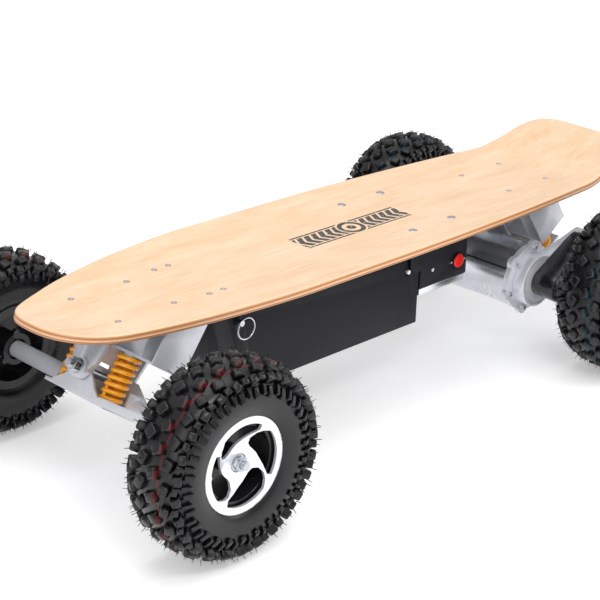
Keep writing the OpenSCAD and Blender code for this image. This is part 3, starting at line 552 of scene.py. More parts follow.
def joined(pieces: Sequence[bpy.types.Object], name: str) -> bpy.types.Object:
    """Joins pieces into one."""
    deselect()
    for piece in pieces:
        piece.select_set(True)
    bpy.context.view_layer.objects.active = pieces[0]
    if len(pieces) > 1:
        bpy.ops.object.join()
    whole = bpy.context.object
    whole.name = name
    whole.data.name = name
    return whole


def moved(piece: bpy.types.Object, place: Matrix) -> bpy.types.Object:
    """Moves a piece's mesh."""
    piece.data.transform(place)
    piece.data.update()
    return piece


def shift(x: float, y: float, z: float) -> Matrix:
    """A move by a distance in millimetres."""
    return Matrix.Translation(Vector((x, y, z)) * MM)


def turned(angle: float, axis: str) -> Matrix:
    """A turn about one axis."""
    return Matrix.Rotation(angle, 4, axis)


def sized(x: float, y: float, z: float) -> Matrix:
    """A stretch of a unit piece to a size in millimetres."""
    return Matrix.Diagonal(Vector((x, y, z, 0)) * MM + Vector((0, 0, 0, 1)))


def frame_at(origin: Sequence[float], out: Sequence[float], along: Sequence[float]) -> Matrix:
    """A place whose Z is `out` and whose X is as near `along` as it can be."""
    z = Vector(out).normalized()
    x = Vector(along)
    x = (x - x.dot(z) * z).normalized()
    y = z.cross(x)
    place = Matrix((x, y, z)).transposed().to_4x4()
    place.translation = Vector(origin)
    return place


def sag(radius: float, reach: float) -> float:
    """How far an arc has risen at a distance from its lowest point."""
    return radius - math.sqrt(radius * radius - reach * reach)


def polar(radius: float, angle: float) -> Point:
    """A point by its radius and angle."""
    return radius * math.cos(angle), radius * math.sin(angle)


def scaled(points: Sequence[Point], factor: float = MM) -> List[Point]:
    """Turns millimetres into metres."""
    return [(a * factor, b * factor) for a, b in points]


# ---- deck ------------------------------------------------------------------


@dataclass
class Deck:
    """A concave maple deck with a blunt kicked tail and a rounded nose that bends up gently."""

    paint: Paintbox
    middle_x: float = MIDDLE_X * MM
    top_z: float = 268.5 * MM
    thickness: float = 12 * MM
    half_width: float = 144.5 * MM
    tail_half: float = 115 * MM
    nose_round: float = 180 * MM
    nose_end: float = 568 * MM
    tail_round: float = -548 * MM
    tail_end: float = -656 * MM
    concave_radius: float = 1049 * MM
    nose_bend: float = 477 * MM
    nose_radius: float = 311 * MM
    tail_bend: float = -479 * MM
    tail_radius: float = 150 * MM
    tail_angle: float = math.radians(13)
    round_over: float = 2.2 * MM
    around: int = 320
    rings: int = 24

    def half_at(self, x: float) -> float:
        """Half the deck's width at a distance from the wheelbase's middle."""
        if x > self.nose_round:
            part = min(1.0, (x - self.nose_round) / (self.nose_end - self.nose_round))
            return self.half_width * (1 - part**1.58) ** (1 / 2.71)
        if x < self.tail_round:
            part = min(1.0, (x - self.tail_round) / (self.tail_end - self.tail_round))
            return self.tail_half * (1 - part**3.9) ** (1 / 3.9)
        if x > 0:
            return self.half_width
        return self.half_width - (self.half_width - self.tail_half) * (x / self.tail_round) ** 1.9

    def top_at(self, x: float, y: float) -> float:
        """Height of the deck's top face."""
        flat = self.top_z + sag(self.concave_radius, y)
        if x > self.nose_bend:
            return flat + sag(self.nose_radius, x - self.nose_bend)
        past = max(0.0, self.tail_bend - x)
        arc = min(past, self.tail_radius * math.sin(self.tail_angle))
        return flat + sag(self.tail_radius, arc) + (past - arc) * math.tan(self.tail_angle)

    def _spot(self, turn: float, out: float) -> Tuple[float, float, float]:
        """A point on the top face, from its turn round the outline and its share of the way out to it."""
        middle, reach = (self.nose_end + self.tail_end) / 2, (self.nose_end - self.tail_end) / 2
        x = middle + reach * math.cos(turn)
        side = 1 if math.sin(turn) >= 0 else -1
        spine = min(max(x, self.tail_end + self.tail_half), self.nose_end - self.half_width)
        x_in = spine + (x - spine) * out
        y_in = side * self.half_at(x) * out
        return x_in + self.middle_x, y_in, self.top_at(x_in, y_in)

    def build(self) -> None:
        """Lays a grid round the outline, gives it thickness and marks the depth of its plies."""
        deselect()
        bpy.ops.mesh.primitive_grid_add(x_subdivisions=self.around, y_subdivisions=self.rings, size=2)
        piece = bpy.context.object
        piece.name = piece.data.name = "deck_board"
        for vertex in piece.data.vertices:
            turn = (vertex.co.x + 1) / 2 * TURN
            vertex.co = self._spot(turn, (vertex.co.y + 1) / 2)
        edit(piece, weld(0.2 * MM), face_out)
        if sum(face.normal.z for face in piece.data.polygons) < 0:
            edit(piece, bpy.ops.mesh.flip_normals)
        modify(piece, "SOLIDIFY", thickness=self.thickness, offset=-1.0)
        break_edges(piece, self.round_over, 3, 50)
        depths = piece.data.attributes.new("ply_depth", "FLOAT", "POINT")
        for vertex, depth in zip(piece.data.vertices, depths.data):
            x, y, z = vertex.co
            lean = self.tail_angle if x - self.middle_x < self.tail_bend else 0.0
            below = (self.top_at(x - self.middle_x, y) - z) * math.cos(lean)
            depth.value = min(1.0, max(0.0, below / self.thickness))
        smooth(piece, 40)
        self.paint.dress(piece, "maple_ply")
        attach(piece, "root")
        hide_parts("deck")


@dataclass
class DeckFasteners:
    """Countersunk cross-head screws that sit flush in the deck's top face."""

    paint: Paintbox
    deck: Deck
    truck_x: float = 411.9
    pitch_x: float = 49
    pitch_y: float = 50
    bracket_x: Tuple[float, float] = (279, 305)
    bracket_y: float = 58
    cross_turn: float = 0.6

    def _head(self) -> bpy.types.Object:
        """A flat head with a cross recess, its top at z = 0."""
        head = revolve("head", scaled([(0, -2), (2.2, -2), (4.9, -0.15), (4.7, 0.1), (0, 0.1)]), 24)
        for turn in (0, math.pi / 2):
            slot = extruded("slot", scaled([(-2.6, -0.5), (2.6, -0.5), (2.6, 0.5), (-2.6, 0.5)]), 2 * MM)
            moved(slot, turned(turn + self.cross_turn, "Z") @ shift(0, 0, -1))
            carve(head, slot)
        smooth(head, 30)
        return head

    def build(self) -> None:
        """Sets a head over every screw, level with the concave face."""
        spots = []
        for end in (1, -1):
            for along in (self.truck_x - self.pitch_x, self.truck_x + self.pitch_x):
                spots += [(end * along, across) for across in (self.pitch_y, -self.pitch_y)]
        spots += [(along, across) for along in self.bracket_x for across in (self.bracket_y, -self.bracket_y)]
        places = []
        for x, y in spots:
            x, y = x * MM, y * MM
            slope = y / self.deck.concave_radius
            spot = (x + self.deck.middle_x, y, self.deck.top_at(x, y))
            places.append(frame_at(spot, (0, -slope, 1), (1, 0, 0)))
        heads = stamped(self._head(), places, "deck_screw_heads")
        self.paint.dress(heads, "zinc_steel")
        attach(heads, "root")


# ---- wheels ----------------------------------------------------------------


class Side(Enum):
    """Which side of the board a wheel is on, with the turn that faces it outwards."""

    LEFT = 0.0
    RIGHT = math.pi


@dataclass
class TreadRow:
    """One row of tread blocks round a tyre. Its offset is a share of its pitch."""

    across: float
    long: float
    wide: float
    foot: float
    high: float
    yaw: float
    offset: float
    lean: float = 0.0


@dataclass
class Tyre:
    """A small knobbly pneumatic tyre, built about the Z axis with its outer side up."""

    rng: random.Random
    blocks_round: int = 26
    ribs_round: int = 52
    rib_lean: float = 62
    rib_foot: Tuple[float, float] = (106, 42.2)
    taper: Tuple[float, float] = (0.8, 0.78)
    # Each row of hairs: its place across, foot radius, lean, count and length; there is one on each side
    hair_rows: Tuple[Tuple[float, float, float, int, float], ...] = (
        (9, 137, 4, 52, 6.4), (27, 133, 22, 52, 8.4), (42, 125, 48, 70, 9.5), (46, 113, 74, 40, 7),
    )

    def carcass(self) -> bpy.types.Object:
        """The tyre's case: a closed section from bead to bead."""
        outer = [
            (57.6, 25), (59.5, 28.5), (62.5, 31), (64, 34.5), (67, 37), (69, 40.2), (74, 42.6), (80, 44.4),
            (87, 45.6), (94, 45.9), (101, 45.1), (107, 43.2), (112, 40.6), (117, 37.2), (122, 32.4),
            (126, 26.2), (128.6, 18.5), (130, 9),
        ]
        inner = [
            (126, 8), (124.5, 18), (121, 25.5), (116, 32), (109, 37.5), (100, 40.6), (88, 40.8), (76, 38),
            (67, 31), (60.5, 23),
        ]
        far_outer, far_inner = ([(r, -y) for r, y in reversed(half)] for half in (outer, inner))
        section = outer + far_outer + far_inner + inner
        piece = revolve("tyre_case", scaled(section), 112)
        smooth(piece, 50)
        return piece

    def block(self) -> bpy.types.Object:
        """One tread block of unit size, narrower at its top, with its edges broken."""
        deselect()
        bpy.ops.mesh.primitive_cube_add(size=1, location=(0, 0, 0.5))
        piece = bpy.context.object
        settle(piece)
        for vertex in piece.data.vertices:
            if vertex.co.z > 0.5:
                vertex.co.x *= self.taper[0]
                vertex.co.y *= self.taper[1]
        break_edges(piece, 0.13, 2, 30)
        smooth(piece, 60)
        return piece

    def rows(self) -> List[TreadRow]:
        """The tread's pattern: two staggered centre rows, two middle rows and two rows of shoulder blocks."""
        rows = []
        for side in (1, -1):
            rows += [
                TreadRow(10 * side, 19, 17, 127.5, 12.4, 26 * side, 0.25 * side),
                TreadRow(26 * side, 17, 15, 123.5, 12.6, -18 * side, 0.25 * side + 0.5, 24 * side),
                TreadRow(37 * side, 15, 12.5, 116.5, 13.8, 10 * side, 0.25 * side, 42 * side),
                TreadRow(36 * side, 13, 9.5, 118.5, 12.4, -8 * side, 0.25 * side + 0.5, 44 * side),
            ]
        return rows

    def row_places(self, row: TreadRow) -> List[Matrix]:
        """Where one row's blocks stand, each a little off its neighbours."""
        places = []
        vary = self.rng.uniform
        for number in range(self.blocks_round):
            around = TURN * (number + row.offset + vary(-0.05, 0.05)) / self.blocks_round
            yaw = math.radians(row.yaw + vary(-9, 9))
            size = sized(row.wide * vary(0.92, 1.1), row.long * vary(0.9, 1.1), row.high)
            foot = turned(around, "Z") @ shift(row.foot - 2, 0, row.across)
            stand = turned(math.pi / 2 - math.radians(row.lean), "Y") @ turned(yaw, "Z")
            places.append(foot @ stand @ size)
        return places

    def ribs(self) -> List[Matrix]:
        """Where the short ribs run from the shoulder blocks down the sidewall, every second one small."""
        places = []
        foot_radius, across = self.rib_foot
        for side, number in product((1, -1), range(self.ribs_round)):
            small = number % 2
            around = TURN * (number + 0.25 * side) / self.ribs_round
            foot = turned(around, "Z") @ shift(foot_radius + 3.5 * small, 0, across * side)
            stand = turned(math.radians(90 - self.rib_lean * side), "Y") @ shift(-4, 0, 0)
            places.append(foot @ stand @ sized(17, 5.4 if small else 8.4, 5.2))
        return places

    def hairs(self) -> bpy.types.Object:
        """The vent hairs that the mould leaves on the blocks and the shoulder."""
        deselect()
        bpy.ops.mesh.primitive_cone_add(
            vertices=4, radius1=0.75 * MM, radius2=0.4 * MM, depth=1, location=(0, 0, 0.5)
        )
        hair = bpy.context.object
        settle(hair)
        places = []
        vary = self.rng.uniform
        for (across, foot, lean, count, long), side in product(self.hair_rows, (1, -1)):
            for number in range(count):
                around = TURN * (number + vary(-0.35, 0.35)) / count
                tilt = math.radians(lean * side + vary(-16, 16))
                sway = math.radians(vary(-25, 25))
                stand = turned(around, "Z") @ shift(foot, 0, across * side)
                stand = stand @ turned(math.pi / 2 - tilt, "Y") @ turned(sway, "X")
                places.append(stand @ Matrix.Diagonal((1, 1, long * vary(0.6, 1.05) * MM, 1)))
        return stamped(hair, places, "tyre_hairs")

    def build(self, name: str) -> bpy.types.Object:
        """Makes the case, the blocks, the ribs and the hairs, and joins them."""
        places = [place for row in self.rows() for place in self.row_places(row)]
        blocks = stamped(self.block(), places, "tyre_blocks")
        ribs = stamped(self.block(), self.ribs(), "tyre_ribs")
        return joined([self.carcass(), blocks, ribs, self.hairs()], name)


@dataclass
class RimFace:
    """The machined face of a rim: a flat ring, and four swirling blades dished in towards the hub."""

    ring_out: float = 67.5
    ring_in: float = 57.5
    hub_bore: float = 13.0
    face: float = 38.3
    hub_face: float = 27.0
    plate: float = 4.5
    flat_radius: float = 22.0
    window: Tuple[Point, ...] = (
        (50, 90), (40, 76), (33.5, 62), (29.5, 45), (26.5, 28), (25.5, 14), (28, 0), (36, -6), (45, -1),
        (51, 7),
    )
    first_window: float = 33.0

    def dish(self, radius: float) -> float:
        """How far the face sits in from the ring, by radius."""
        part = min(1.0, max(0.0, (self.ring_in - radius) / (self.ring_in - self.flat_radius)))
        return (self.face - self.hub_face) * (3 * part**2 - 2 * part**3)

    def window_outline(self, number: int) -> List[Point]:
        """One window's edge, with its long side on the ring."""
        start = self.first_window + 90 * number
        arc = [(self.ring_in, 19 + 3 * step) for step in range(24)]
        return [polar(radius, -math.radians(start + angle)) for radius, angle in arc + list(self.window)]

    def build(self) -> bpy.types.Object:
        """Cuts the windows and the bore, divides the plate finely, dishes it and breaks its edges."""
        rim = [polar(self.ring_out, TURN * step / 96) for step in range(96)]
        bore = [polar(self.hub_bore, TURN * step / 48) for step in range(48)]
        piece = extruded("rim_face_plate", scaled(rim), self.plate * MM)
        for outline in [bore] + [self.window_outline(number) for number in range(4)]:
            cutter = extruded("cutter", scaled(outline), 4 * self.plate * MM)
            carve(piece, moved(cutter, shift(0, 0, -self.plate)))
        self._divide(piece)
        for vertex in piece.data.vertices:
            radius = math.hypot(vertex.co.x, vertex.co.y) / MM
            vertex.co.z += (self.face - self.plate - self.dish(radius)) * MM
        break_edges(piece, 0.7 * MM, 2, 50)
        smooth(piece, 40)
        return piece

    def _divide(self, piece: bpy.types.Object) -> None:
        """Cuts the plate into small faces, so that it can be dished smoothly."""
        pitch, reach = 4.5, 66
        cuts = []
        for number in range(int(2 * reach / pitch) + 1):
            at = (-reach + number * pitch) * MM
            for spot, normal in (((at, 0, 0), (1, 0, 0)), ((0, at, 0), (0, 1, 0))):
                cuts.append(partial(bpy.ops.mesh.bisect, plane_co=spot, plane_no=normal))
        edit(piece, *cuts)


@dataclass
class Wheels:
    """The four wheels, each with its tyre, rim face and valve."""

    paint: Paintbox
    axles_x: Tuple[float, float] = (FRONT_AXLE_X * MM, REAR_AXLE_X * MM)
    track_half: float = 241.5 * MM
    axle_z: float = AXLE_Z * MM
    valve_radius: float = 49
    lines: Dict[str, Colour] = field(
        default_factory=lambda: {"front": paint_chip(150, 24, 30), "rear": paint_chip(26, 84, 100)}
    )

    def build(self) -> None:
        """Makes one of each and sets copies at the four corners."""
        tyre = Tyre(random.Random(7)).build("tyre_pattern")
        face = RimFace().build()
        valve = self._valve()
        for end, x in zip(("front", "rear"), self.axles_x):
            for side in Side:
                which = f"{end}_{side.name.lower()}"
                across = self.track_half if side is Side.LEFT else -self.track_half
                hub = Matrix.Translation((x, across, self.axle_z)) @ turned(side.value, "Z")
                stand = hub @ turned(-math.pi / 2, "X")
                self._set(tyre, f"{which}_tyre", stand, which, "tyre_rubber", f"tyre_{which}")
                self._set(face, f"{which}_rim_face", stand, which, "machined_rim", f"rim_face_{which}")
                self._set(valve, f"{which}_valve", stand, which, "zinc_steel", None)
                rubber = TyreRubber(f"{which}_rubber", self.lines[end], (x, across, self.axle_z))
                bpy.data.objects[f"{which}_tyre"].data.materials[0] = rubber.material()
        for pattern in (tyre, face, valve):
            bpy.data.objects.remove(pattern)

    def _set(
        self, pattern: bpy.types.Object, name: str, stand: Matrix, which: str, slot: str, node: object
    ) -> None:
        """Copies a pattern to one wheel. Its Z becomes the wheel's outward axis."""
        piece = pattern.copy()
        piece.data = pattern.data.copy()
        piece.name = piece.data.name = name
        bpy.context.collection.objects.link(piece)
        moved(piece, stand)
        self.paint.dress(piece, slot)
        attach(piece, f"wheel_{which}")
        if node:
            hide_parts(node)

    def _valve(self) -> bpy.types.Object:
        """A tyre valve: threaded stem, flats and cap, pointing out through a window."""
        profile = [
            (0, 8), (2.6, 8), (2.6, 16), (3.1, 16.4), (3.1, 17.4), (2.6, 17.8), (2.6, 19), (3.9, 19.4),
            (3.9, 25.6), (3.2, 27), (0, 27.4),
        ]
        piece = revolve("valve", scaled(profile), 20)
        smooth(piece, 40)
        return moved(piece, shift(*polar(self.valve_radius, math.radians(7.5)), 0))


# ---- trucks ----------------------------------------------------------------


@dataclass
class Springs:
    """Two coil springs in each truck, squeezed between its base and its hanger."""

    paint: Paintbox
    pivot_tilt: float = math.radians(35)
    pivots: Dict[str, Tuple[float, float]] = field(
        default_factory=lambda: {"front": (468.78 * MM, 1.0), "rear": (-397.28 * MM, -1.0)}
    )
    pivot_z: float = 156.38 * MM
    along: float = 31 * MM
    half_gap: float = 44 * MM
    low: float = -31.5 * MM
    high: float = 44 * MM
    coil_radius: float = 14.6 * MM
    wire_thickness: float = 6.3 * MM
    turns: float = 7.8
    closed: float = 0.075
    closed_rise: float = 0.045

    def _coil(self) -> bpy.types.Object:
        """One coil about the Z axis, with its end turns closed up."""
        length = self.high - self.low - self.wire_thickness
        steps = int(self.turns * 26)
        points = []
        for step in range(steps + 1):
            part = step / steps
            climb = min(1.0, max(0.0, (part - self.closed) / (1 - 2 * self.closed)))
            ends = min(part, self.closed) + max(0.0, part - 1 + self.closed)
            rise = self.closed_rise * ends / self.closed / 2 + climb * (1 - self.closed_rise)
            points.append((*polar(self.coil_radius, TURN * self.turns * part), length * rise))
        return wire("coil", points, self.wire_thickness)

    def build(self) -> None:
        """Stands the coils in both trucks, between the base and the hanger."""
        for end, (pivot_x, facing) in self.pivots.items():
            lean = Vector((-math.sin(self.pivot_tilt) * facing, 0, math.cos(self.pivot_tilt)))
            ahead = Vector((math.cos(self.pivot_tilt) * facing, 0, math.sin(self.pivot_tilt)))
            for side in Side:
                across = self.half_gap if side is Side.LEFT else -self.half_gap
                centre = Vector((pivot_x, across, self.pivot_z)) + ahead * self.along
                foot, head = centre + lean * self.low, centre + lean * self.high
                coil = self._coil()
                coil.name = coil.data.name = f"{end}_coil_{side.name.lower()}"
                moved(coil, frame_at(foot + lean * self.wire_thickness / 2, lean, ahead))
                self.paint.dress(coil, "amber_spring")
                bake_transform(coil)
                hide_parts(f"{end}_spring_{side.name.lower()}")


# ---- castings and housings taken from the frame ----------------------------


@dataclass(frozen=True)
class Casting:
    """A frame node rebuilt with broken edges: its bevel, finish and body."""

    node: str
    slot: str
    body: str
    bevel: float
    segments: int = 2


class Foundry:
    """Rebuilds the frame's rigid nodes with rounded edges."""

    CASTINGS = (
        Casting("front_base", "silver_paint", "root", 1.1),
        Casting("rear_base", "silver_paint", "root", 1.1),
        Casting("front_hanger", "silver_paint", "front_truck", 1.1),
        Casting("rear_hanger", "silver_paint", "rear_truck", 1.1),
        Casting("battery_case", "black_case", "root", 1.4),
        Casting("battery_lid", "black_case", "root", 0.8),
        Casting("battery_bracket_left", "black_case", "root", 0.5),
        Casting("battery_bracket_right", "black_case", "root", 0.5),
        Casting("rear_bracket", "black_case", "root", 0.6),
        Casting("controller_case", "black_case", "root", 1.2),
        Casting("heat_plate", "bare_aluminium", "root", 0.6),
        Casting("motor_flange", "silver_paint", "rear_truck", 0.9),
        Casting("motor_arm", "silver_paint", "rear_truck", 0.9),
        Casting("motor_can", "bare_aluminium", "rear_truck", 0.7),
        Casting("chain_guard", "black_plastic", "rear_truck", 0.9),
        Casting("front_axle_nuts", "zinc_steel", "front_truck", 0.5),
        Casting("rear_axle_nuts", "zinc_steel", "rear_truck", 0.5),
        Casting("front_kingpin", "zinc_steel", "root", 0.5),
        Casting("rear_kingpin", "zinc_steel", "root", 0.5),
        Casting("carriage_bolts", "zinc_steel", "root", 0.4),
        Casting("hook_bolts", "white_bolt", "root", 0.4),
        Casting("power_button", "red_button", "power_button", 1.0, 3),
    )
    # Finishes of the nodes that stay as they are, by the start of the name
    KEPT = (
        ("deck_", "zinc_steel"),
        ("deck", "maple_ply"),
        ("battery_cells", "cell_wrap"),
        ("controller_board", "board_green"),
        ("button_bezel", "black_plastic"),
        ("drive_chain", "chain_steel"),
        # Bearings take black steel for their dark seal shields; the black is also painted shade for the hub
        # recess round the axle nut.
        ("bearings_", "black_steel"),
        ("tyre_", "tyre_rubber"),
        ("rim_barrel_", "black_rim"),
        ("rim_face_", "machined_rim"),
        ("front_spring", "amber_spring"),
        ("rear_spring", "amber_spring"),
        ("front_pivot", "bush_polymer"),
        ("rear_pivot", "bush_polymer"),
        ("", "zinc_steel"),
    )

    def __init__(self, paint: Paintbox, frame: Dict[str, object]) -> None:
        """Keeps the finishes and the frame's nodes."""
        self.paint = paint
        self.nodes = frame["nodes"]

    def cast(self, casting: Casting) -> None:
        """Copies one node, joins its loose triangles into whole faces and breaks its edges."""
        source = self.nodes[casting.node]
        piece = source.copy()
        piece.data = source.data.copy()
        piece.name = piece.data.name = f"{casting.node}_cast"
        piece.parent = None
        bpy.context.collection.objects.link(piece)
        for key in list(piece.keys()):
            del piece[key]
        edit(piece, weld(0.02 * MM), partial(bpy.ops.mesh.dissolve_limited, angle_limit=math.radians(1)))
        break_edges(piece, casting.bevel * MM, casting.segments, 38)
        smooth(piece, 35)
        self.paint.dress(piece, casting.slot)
        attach(piece, casting.body)
        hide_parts(casting.node)

    def build(self) -> None:
        """Rebuilds every casting, and gives what is left of the frame its finishes."""
        for casting in self.CASTINGS:
            self.cast(casting)
        done = {casting.node for casting in self.CASTINGS}
        for name, node in self.nodes.items():
            if name not in done:
                slot = next(slot for start, slot in self.KEPT if name.startswith(start))
                node.data.materials.clear()
                node.data.materials.append(self.paint.made[slot])


# ---- drive -----------------------------------------------------------------


@dataclass
class MotorDetail:
    """A pale band behind the motor's vents, painted light for the bright backdrop seen through them; a thin
    dark strip along the can, a painted line where its dark upper reflection meets its pale lower one; and the
    flange's bolts.
    """

    paint: Paintbox
    motor_x: float = REAR_AXLE_X + DRIVE_CENTRES
    axle_z: float = AXLE_Z
    painted_light_radius: float = 53.2
    painted_light_from: float = 38
    painted_light_to: float = 78
    can_radius: float = 54
    reflection_angle: float = 26
    reflection_from: float = -22
    reflection_to: float = 103
    first_lobe: float = 20
    lobe_radius: float = 51
    flange_face: float = 114

    def _stand(self) -> Matrix:
        """A place on the motor's axis, with Z along +Y."""
        return shift(self.motor_x, 0, self.axle_z) @ turned(-math.pi / 2, "X")

    def build(self) -> None:
        """Makes the painted light behind the vents, the painted reflection line along the can and the
        flange's screws.
        """
        r = self.painted_light_radius
        # Painted light: a pale band inside the can that shows through the vents as the bright backdrop.
        section = [(r - 1, self.painted_light_from), (r, self.painted_light_from), (r, self.painted_light_to), (r - 1, self.painted_light_to)]
        painted_light = revolve("vent_liner", scaled(section), 48)
        smooth(painted_light, 30)
        self._fix(painted_light, "white_bolt")
        # Painted reflection: a thin black strip along the can where its dark upper reflection meets its pale
        # lower one.
        angle = -math.radians(self.reflection_angle)
        outline = scaled([(-0.7, -1.3), (0.4, -1.3), (0.4, 1.3), (-0.7, 1.3)])
        reflection_strip = extruded("can_seam", outline, (self.reflection_to - self.reflection_from) * MM)
        modify(reflection_strip, "BEVEL", width=0.2 * MM, segments=1)
        moved(reflection_strip, shift(*polar(self.can_radius, angle), self.reflection_from) @ turned(angle, "Z"))
        self._fix(reflection_strip, "black_steel")
        self._fix(self._flange_screws(), "zinc_steel")

    def _flange_screws(self) -> bpy.types.Object:
        """Socket screws through the flange's lobes."""
        cap = [(0, 1.2), (2.1, 1.2), (2.1, 3.4), (3.7, 3.4), (4.3, 2.8), (4.3, -1), (0, -1)]
        screw = revolve("flange_screw", scaled(cap), 20)
        smooth(screw, 40)
        places = []
        for lobe in range(6):
            angle = math.radians(self.first_lobe + 60 * lobe)
            places.append(turned(angle, "Z") @ shift(self.lobe_radius, 0, self.flange_face))
        return stamped(screw, places, "flange_screws")

    def _fix(self, piece: bpy.types.Object, slot: str) -> None:
        """Stands a piece on the motor's axis and fixes it to the truck."""
        moved(piece, self._stand())
        self.paint.dress(piece, slot)
        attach(piece, "rear_truck")


@dataclass
class PanelScrews:
    """Small domed screws on the near face of the controller's case."""

    paint: Paintbox
    spots: Tuple[Point, ...] = ((-199 - 15.8, 200), (-199 + 15.8, 200), (-140, 199))
    head: float = 3.4

    def build(self) -> None:
        """Sets a screw at every spot."""
        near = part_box("controller_case")[1][1]
        r = self.head
        dome = [(0, -1), (r, -1), (r, 0.6), (r * 0.86, 1.5), (r * 0.5, 2.1), (0, 2.3)]
        screw = revolve("screw", scaled(dome), 20)
        feet = [((x + MIDDLE_X) * MM, near, z * MM) for x, z in self.spots]
        places = [frame_at(foot, (0, 1, 0), (1, 0, 0)) for foot in feet]
        screws = stamped(screw, places, "panel_screws")
        smooth(screws, 50)
        self.paint.dress(screws, "zinc_steel")
        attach(screws, "root")


@dataclass
class RollerChain:
    """A small roller chain laid link by link round its two sprockets."""

    paint: Paintbox
    wheel_x: float = REAR_AXLE_X
    centres: float = DRIVE_CENTRES
    axle_z: float = AXLE_Z
    centre_y: float = 158
    pitch: float = 6.35
    motor_radius: float = 11.3 + 3.4
    wheel_radius: float = 55.6 + 3.4
    plate: float = 0.8

    def _route(self) -> Tuple[List[Point], float]:
        """The chain's line as evenly close points, starting on the wheel's sprocket, and its length."""
        lean = math.acos((self.wheel_radius - self.motor_radius) / self.centres)
        points = []
        for centre, radius, first, last, steps in (
            (0, self.wheel_radius, lean, TURN - lean, 239), (self.centres, self.motor_radius, -lean, lean, 59)
        ):
            for step in range(steps + 1):
                x, z = polar(radius, first + (last - first) * step / steps)
                points.append((centre + x, z))
        points.append(points[0])
        return points, sum(math.dist(a, b) for a, b in zip(points, points[1:]))

    def _places(self) -> List[Matrix]:
        """Where each link sits along the route."""
        points, length = self._route()
        count = round(length / self.pitch)
        step = length / count
        places, walked, wanted = [], 0.0, 0.0
        for a, b in zip(points, points[1:]):
            leg = math.dist(a, b)
            while wanted < walked + leg and len(places) < count:
                part = (wanted - walked) / leg
                x, z = a[0] + (b[0] - a[0]) * part, a[1] + (b[1] - a[1]) * part
                middle = Vector((self.wheel_x + x, self.centre_y, self.axle_z + z)) * MM
                places.append(frame_at(middle, (0, 1, 0), (b[0] - a[0], 0, b[1] - a[1])))
                wanted += step
            walked += leg
        return places

    def _link(self, half_gap: float) -> bpy.types.Object:
        """Two side plates and a roller."""
        reach, end = self.pitch / 2, 2.5
        outline = []
        for centre, first in ((reach, -80), (-reach, 100)):
            for step in range(5):
                x, y = polar(end, math.radians(first + 40 * step))
                outline.append((centre + x, y))
        plates = []
        for height in (half_gap, -half_gap - self.plate):
            plates.append(moved(extruded("plate", scaled(outline), self.plate * MM), shift(0, 0, height)))
        roller = revolve("roller", scaled([(0, -1.7), (1.65, -1.7), (1.65, 1.7), (0, 1.7)]), 8)
        plates.append(moved(roller, shift(reach, 0, 0)))
        return joined(plates, "link")

    def build(self) -> None:
        """Alternates inner and outer links."""
        places = self._places()
        inner = stamped(self._link(1.4), places[0::2], "chain_inner")
        outer = stamped(self._link(2.0), places[1::2], "chain_outer")
        chain = joined([inner, outer], "roller_chain")
        self.paint.dress(chain, "chain_steel")
        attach(chain, "rear_truck")
        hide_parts("drive_chain")


# ---- studio ----------------------------------------------------------------


@dataclass
class Softbox:
    """A broad light: where it stands, what it is aimed at, its size and its power."""

    name: str
    spot: Tuple[float, float, float]
    aim: Tuple[float, float, float]
    size: Point
    power: float

    def hang(self) -> None:
        """Hangs the light and aims it."""
        lamp = bpy.data.lights.new(self.name, "AREA")
        lamp.shape = "RECTANGLE"
        lamp.size, lamp.size_y = self.size
        lamp.energy = self.power
        stand = bpy.data.objects.new(self.name, lamp)
        bpy.context.collection.objects.link(stand)
        stand.location = self.spot
        stand.rotation_euler = (Vector(self.aim) - Vector(self.spot)).to_track_quat("-Z", "Y").to_euler()


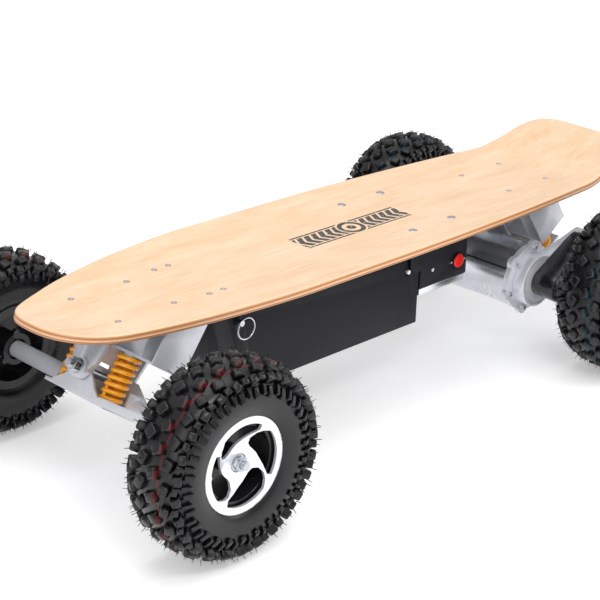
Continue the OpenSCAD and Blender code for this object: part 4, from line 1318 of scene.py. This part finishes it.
@dataclass
class Studio:
    """A white floor and broad soft light, with the camera on the near side of the nose."""

    floor_size: float = 40
    floor_glow: float = 0.3
    surround: float = 0.7
    lens: float = 105.538
    camera_spot: Tuple[float, float, float] = (1.862161, 1.703998, 1.198179)
    camera_turn: Tuple[float, float, float] = (67.35889, -1.92711, 134.85987)
    softboxes: Tuple[Softbox, ...] = (
        Softbox("overhead", (0.1, 0.1, 2.6), (0, 0, 0.2), (2.4, 1.8), 26),
        Softbox("kicker", (-2.0, 1.6, 1.5), (-0.2, 0, 0.2), (1.2, 1.6), 16),
        Softbox("near_top", (0.8, 1.35, 1.7), (0.45, 0.25, 0.2), (0.9, 0.35), 9),
        Softbox("front_fill", (2.4, 1.4, 1.1), (0.2, 0, 0.15), (1.2, 1.6), 12),
    )

    def floor(self) -> None:
        """Lays a large pale floor that glows a little."""
        deselect()
        bpy.ops.mesh.primitive_plane_add(size=self.floor_size)
        ground = bpy.context.object
        ground.name = "floor"
        pale, paler = (0.93, 0.93, 0.94), (0.96, 0.96, 0.965)
        white = Finish("studio_floor", pale, paler, 0.6, 0.05, 0.0, 3.0, 400, 0.0).material()
        glow = white.node_tree.nodes["Principled BSDF"]
        glow.inputs["Emission Color"].default_value = (1, 1, 1, 1)
        glow.inputs["Emission Strength"].default_value = self.floor_glow
        ground.data.materials.append(white)

    def light(self) -> None:
        """Sets a bright surround and the softboxes."""
        world = bpy.data.worlds.new("surround")
        world.use_nodes = True
        background = world.node_tree.nodes["Background"]
        background.inputs["Color"].default_value = (1, 1, 1, 1)
        background.inputs["Strength"].default_value = self.surround
        bpy.context.scene.world = world
        for softbox in self.softboxes:
            softbox.hang()
        bpy.context.scene.view_settings.view_transform = "Standard"

    def camera(self) -> None:
        """Stands the camera ahead of the nose and to the near side, looking down a little."""
        lens = bpy.data.cameras.new("camera")
        lens.lens = self.lens
        lens.sensor_width = 36
        eye = bpy.data.objects.new("camera", lens)
        bpy.context.collection.objects.link(eye)
        eye.location = self.camera_spot
        eye.rotation_euler = [math.radians(angle) for angle in self.camera_turn]
        bpy.context.scene.camera = eye

    def build(self) -> None:
        """Sets up the whole studio."""
        self.camera()
        self.floor()
        self.light()


def main() -> None:
    """Builds every piece over the frame."""
    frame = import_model()
    deselect()
    paint = Paintbox()
    Studio().build()
    Foundry(paint, frame).build()
    deck = Deck(paint)
    deck.build()
    DeckFasteners(paint, deck).build()
    Wheels(paint).build()
    Springs(paint).build()
    RollerChain(paint).build()
    MotorDetail(paint).build()
    PanelScrews(paint).build()


if __name__ == "__main__":
    logging.basicConfig(level=logging.INFO)
    main()
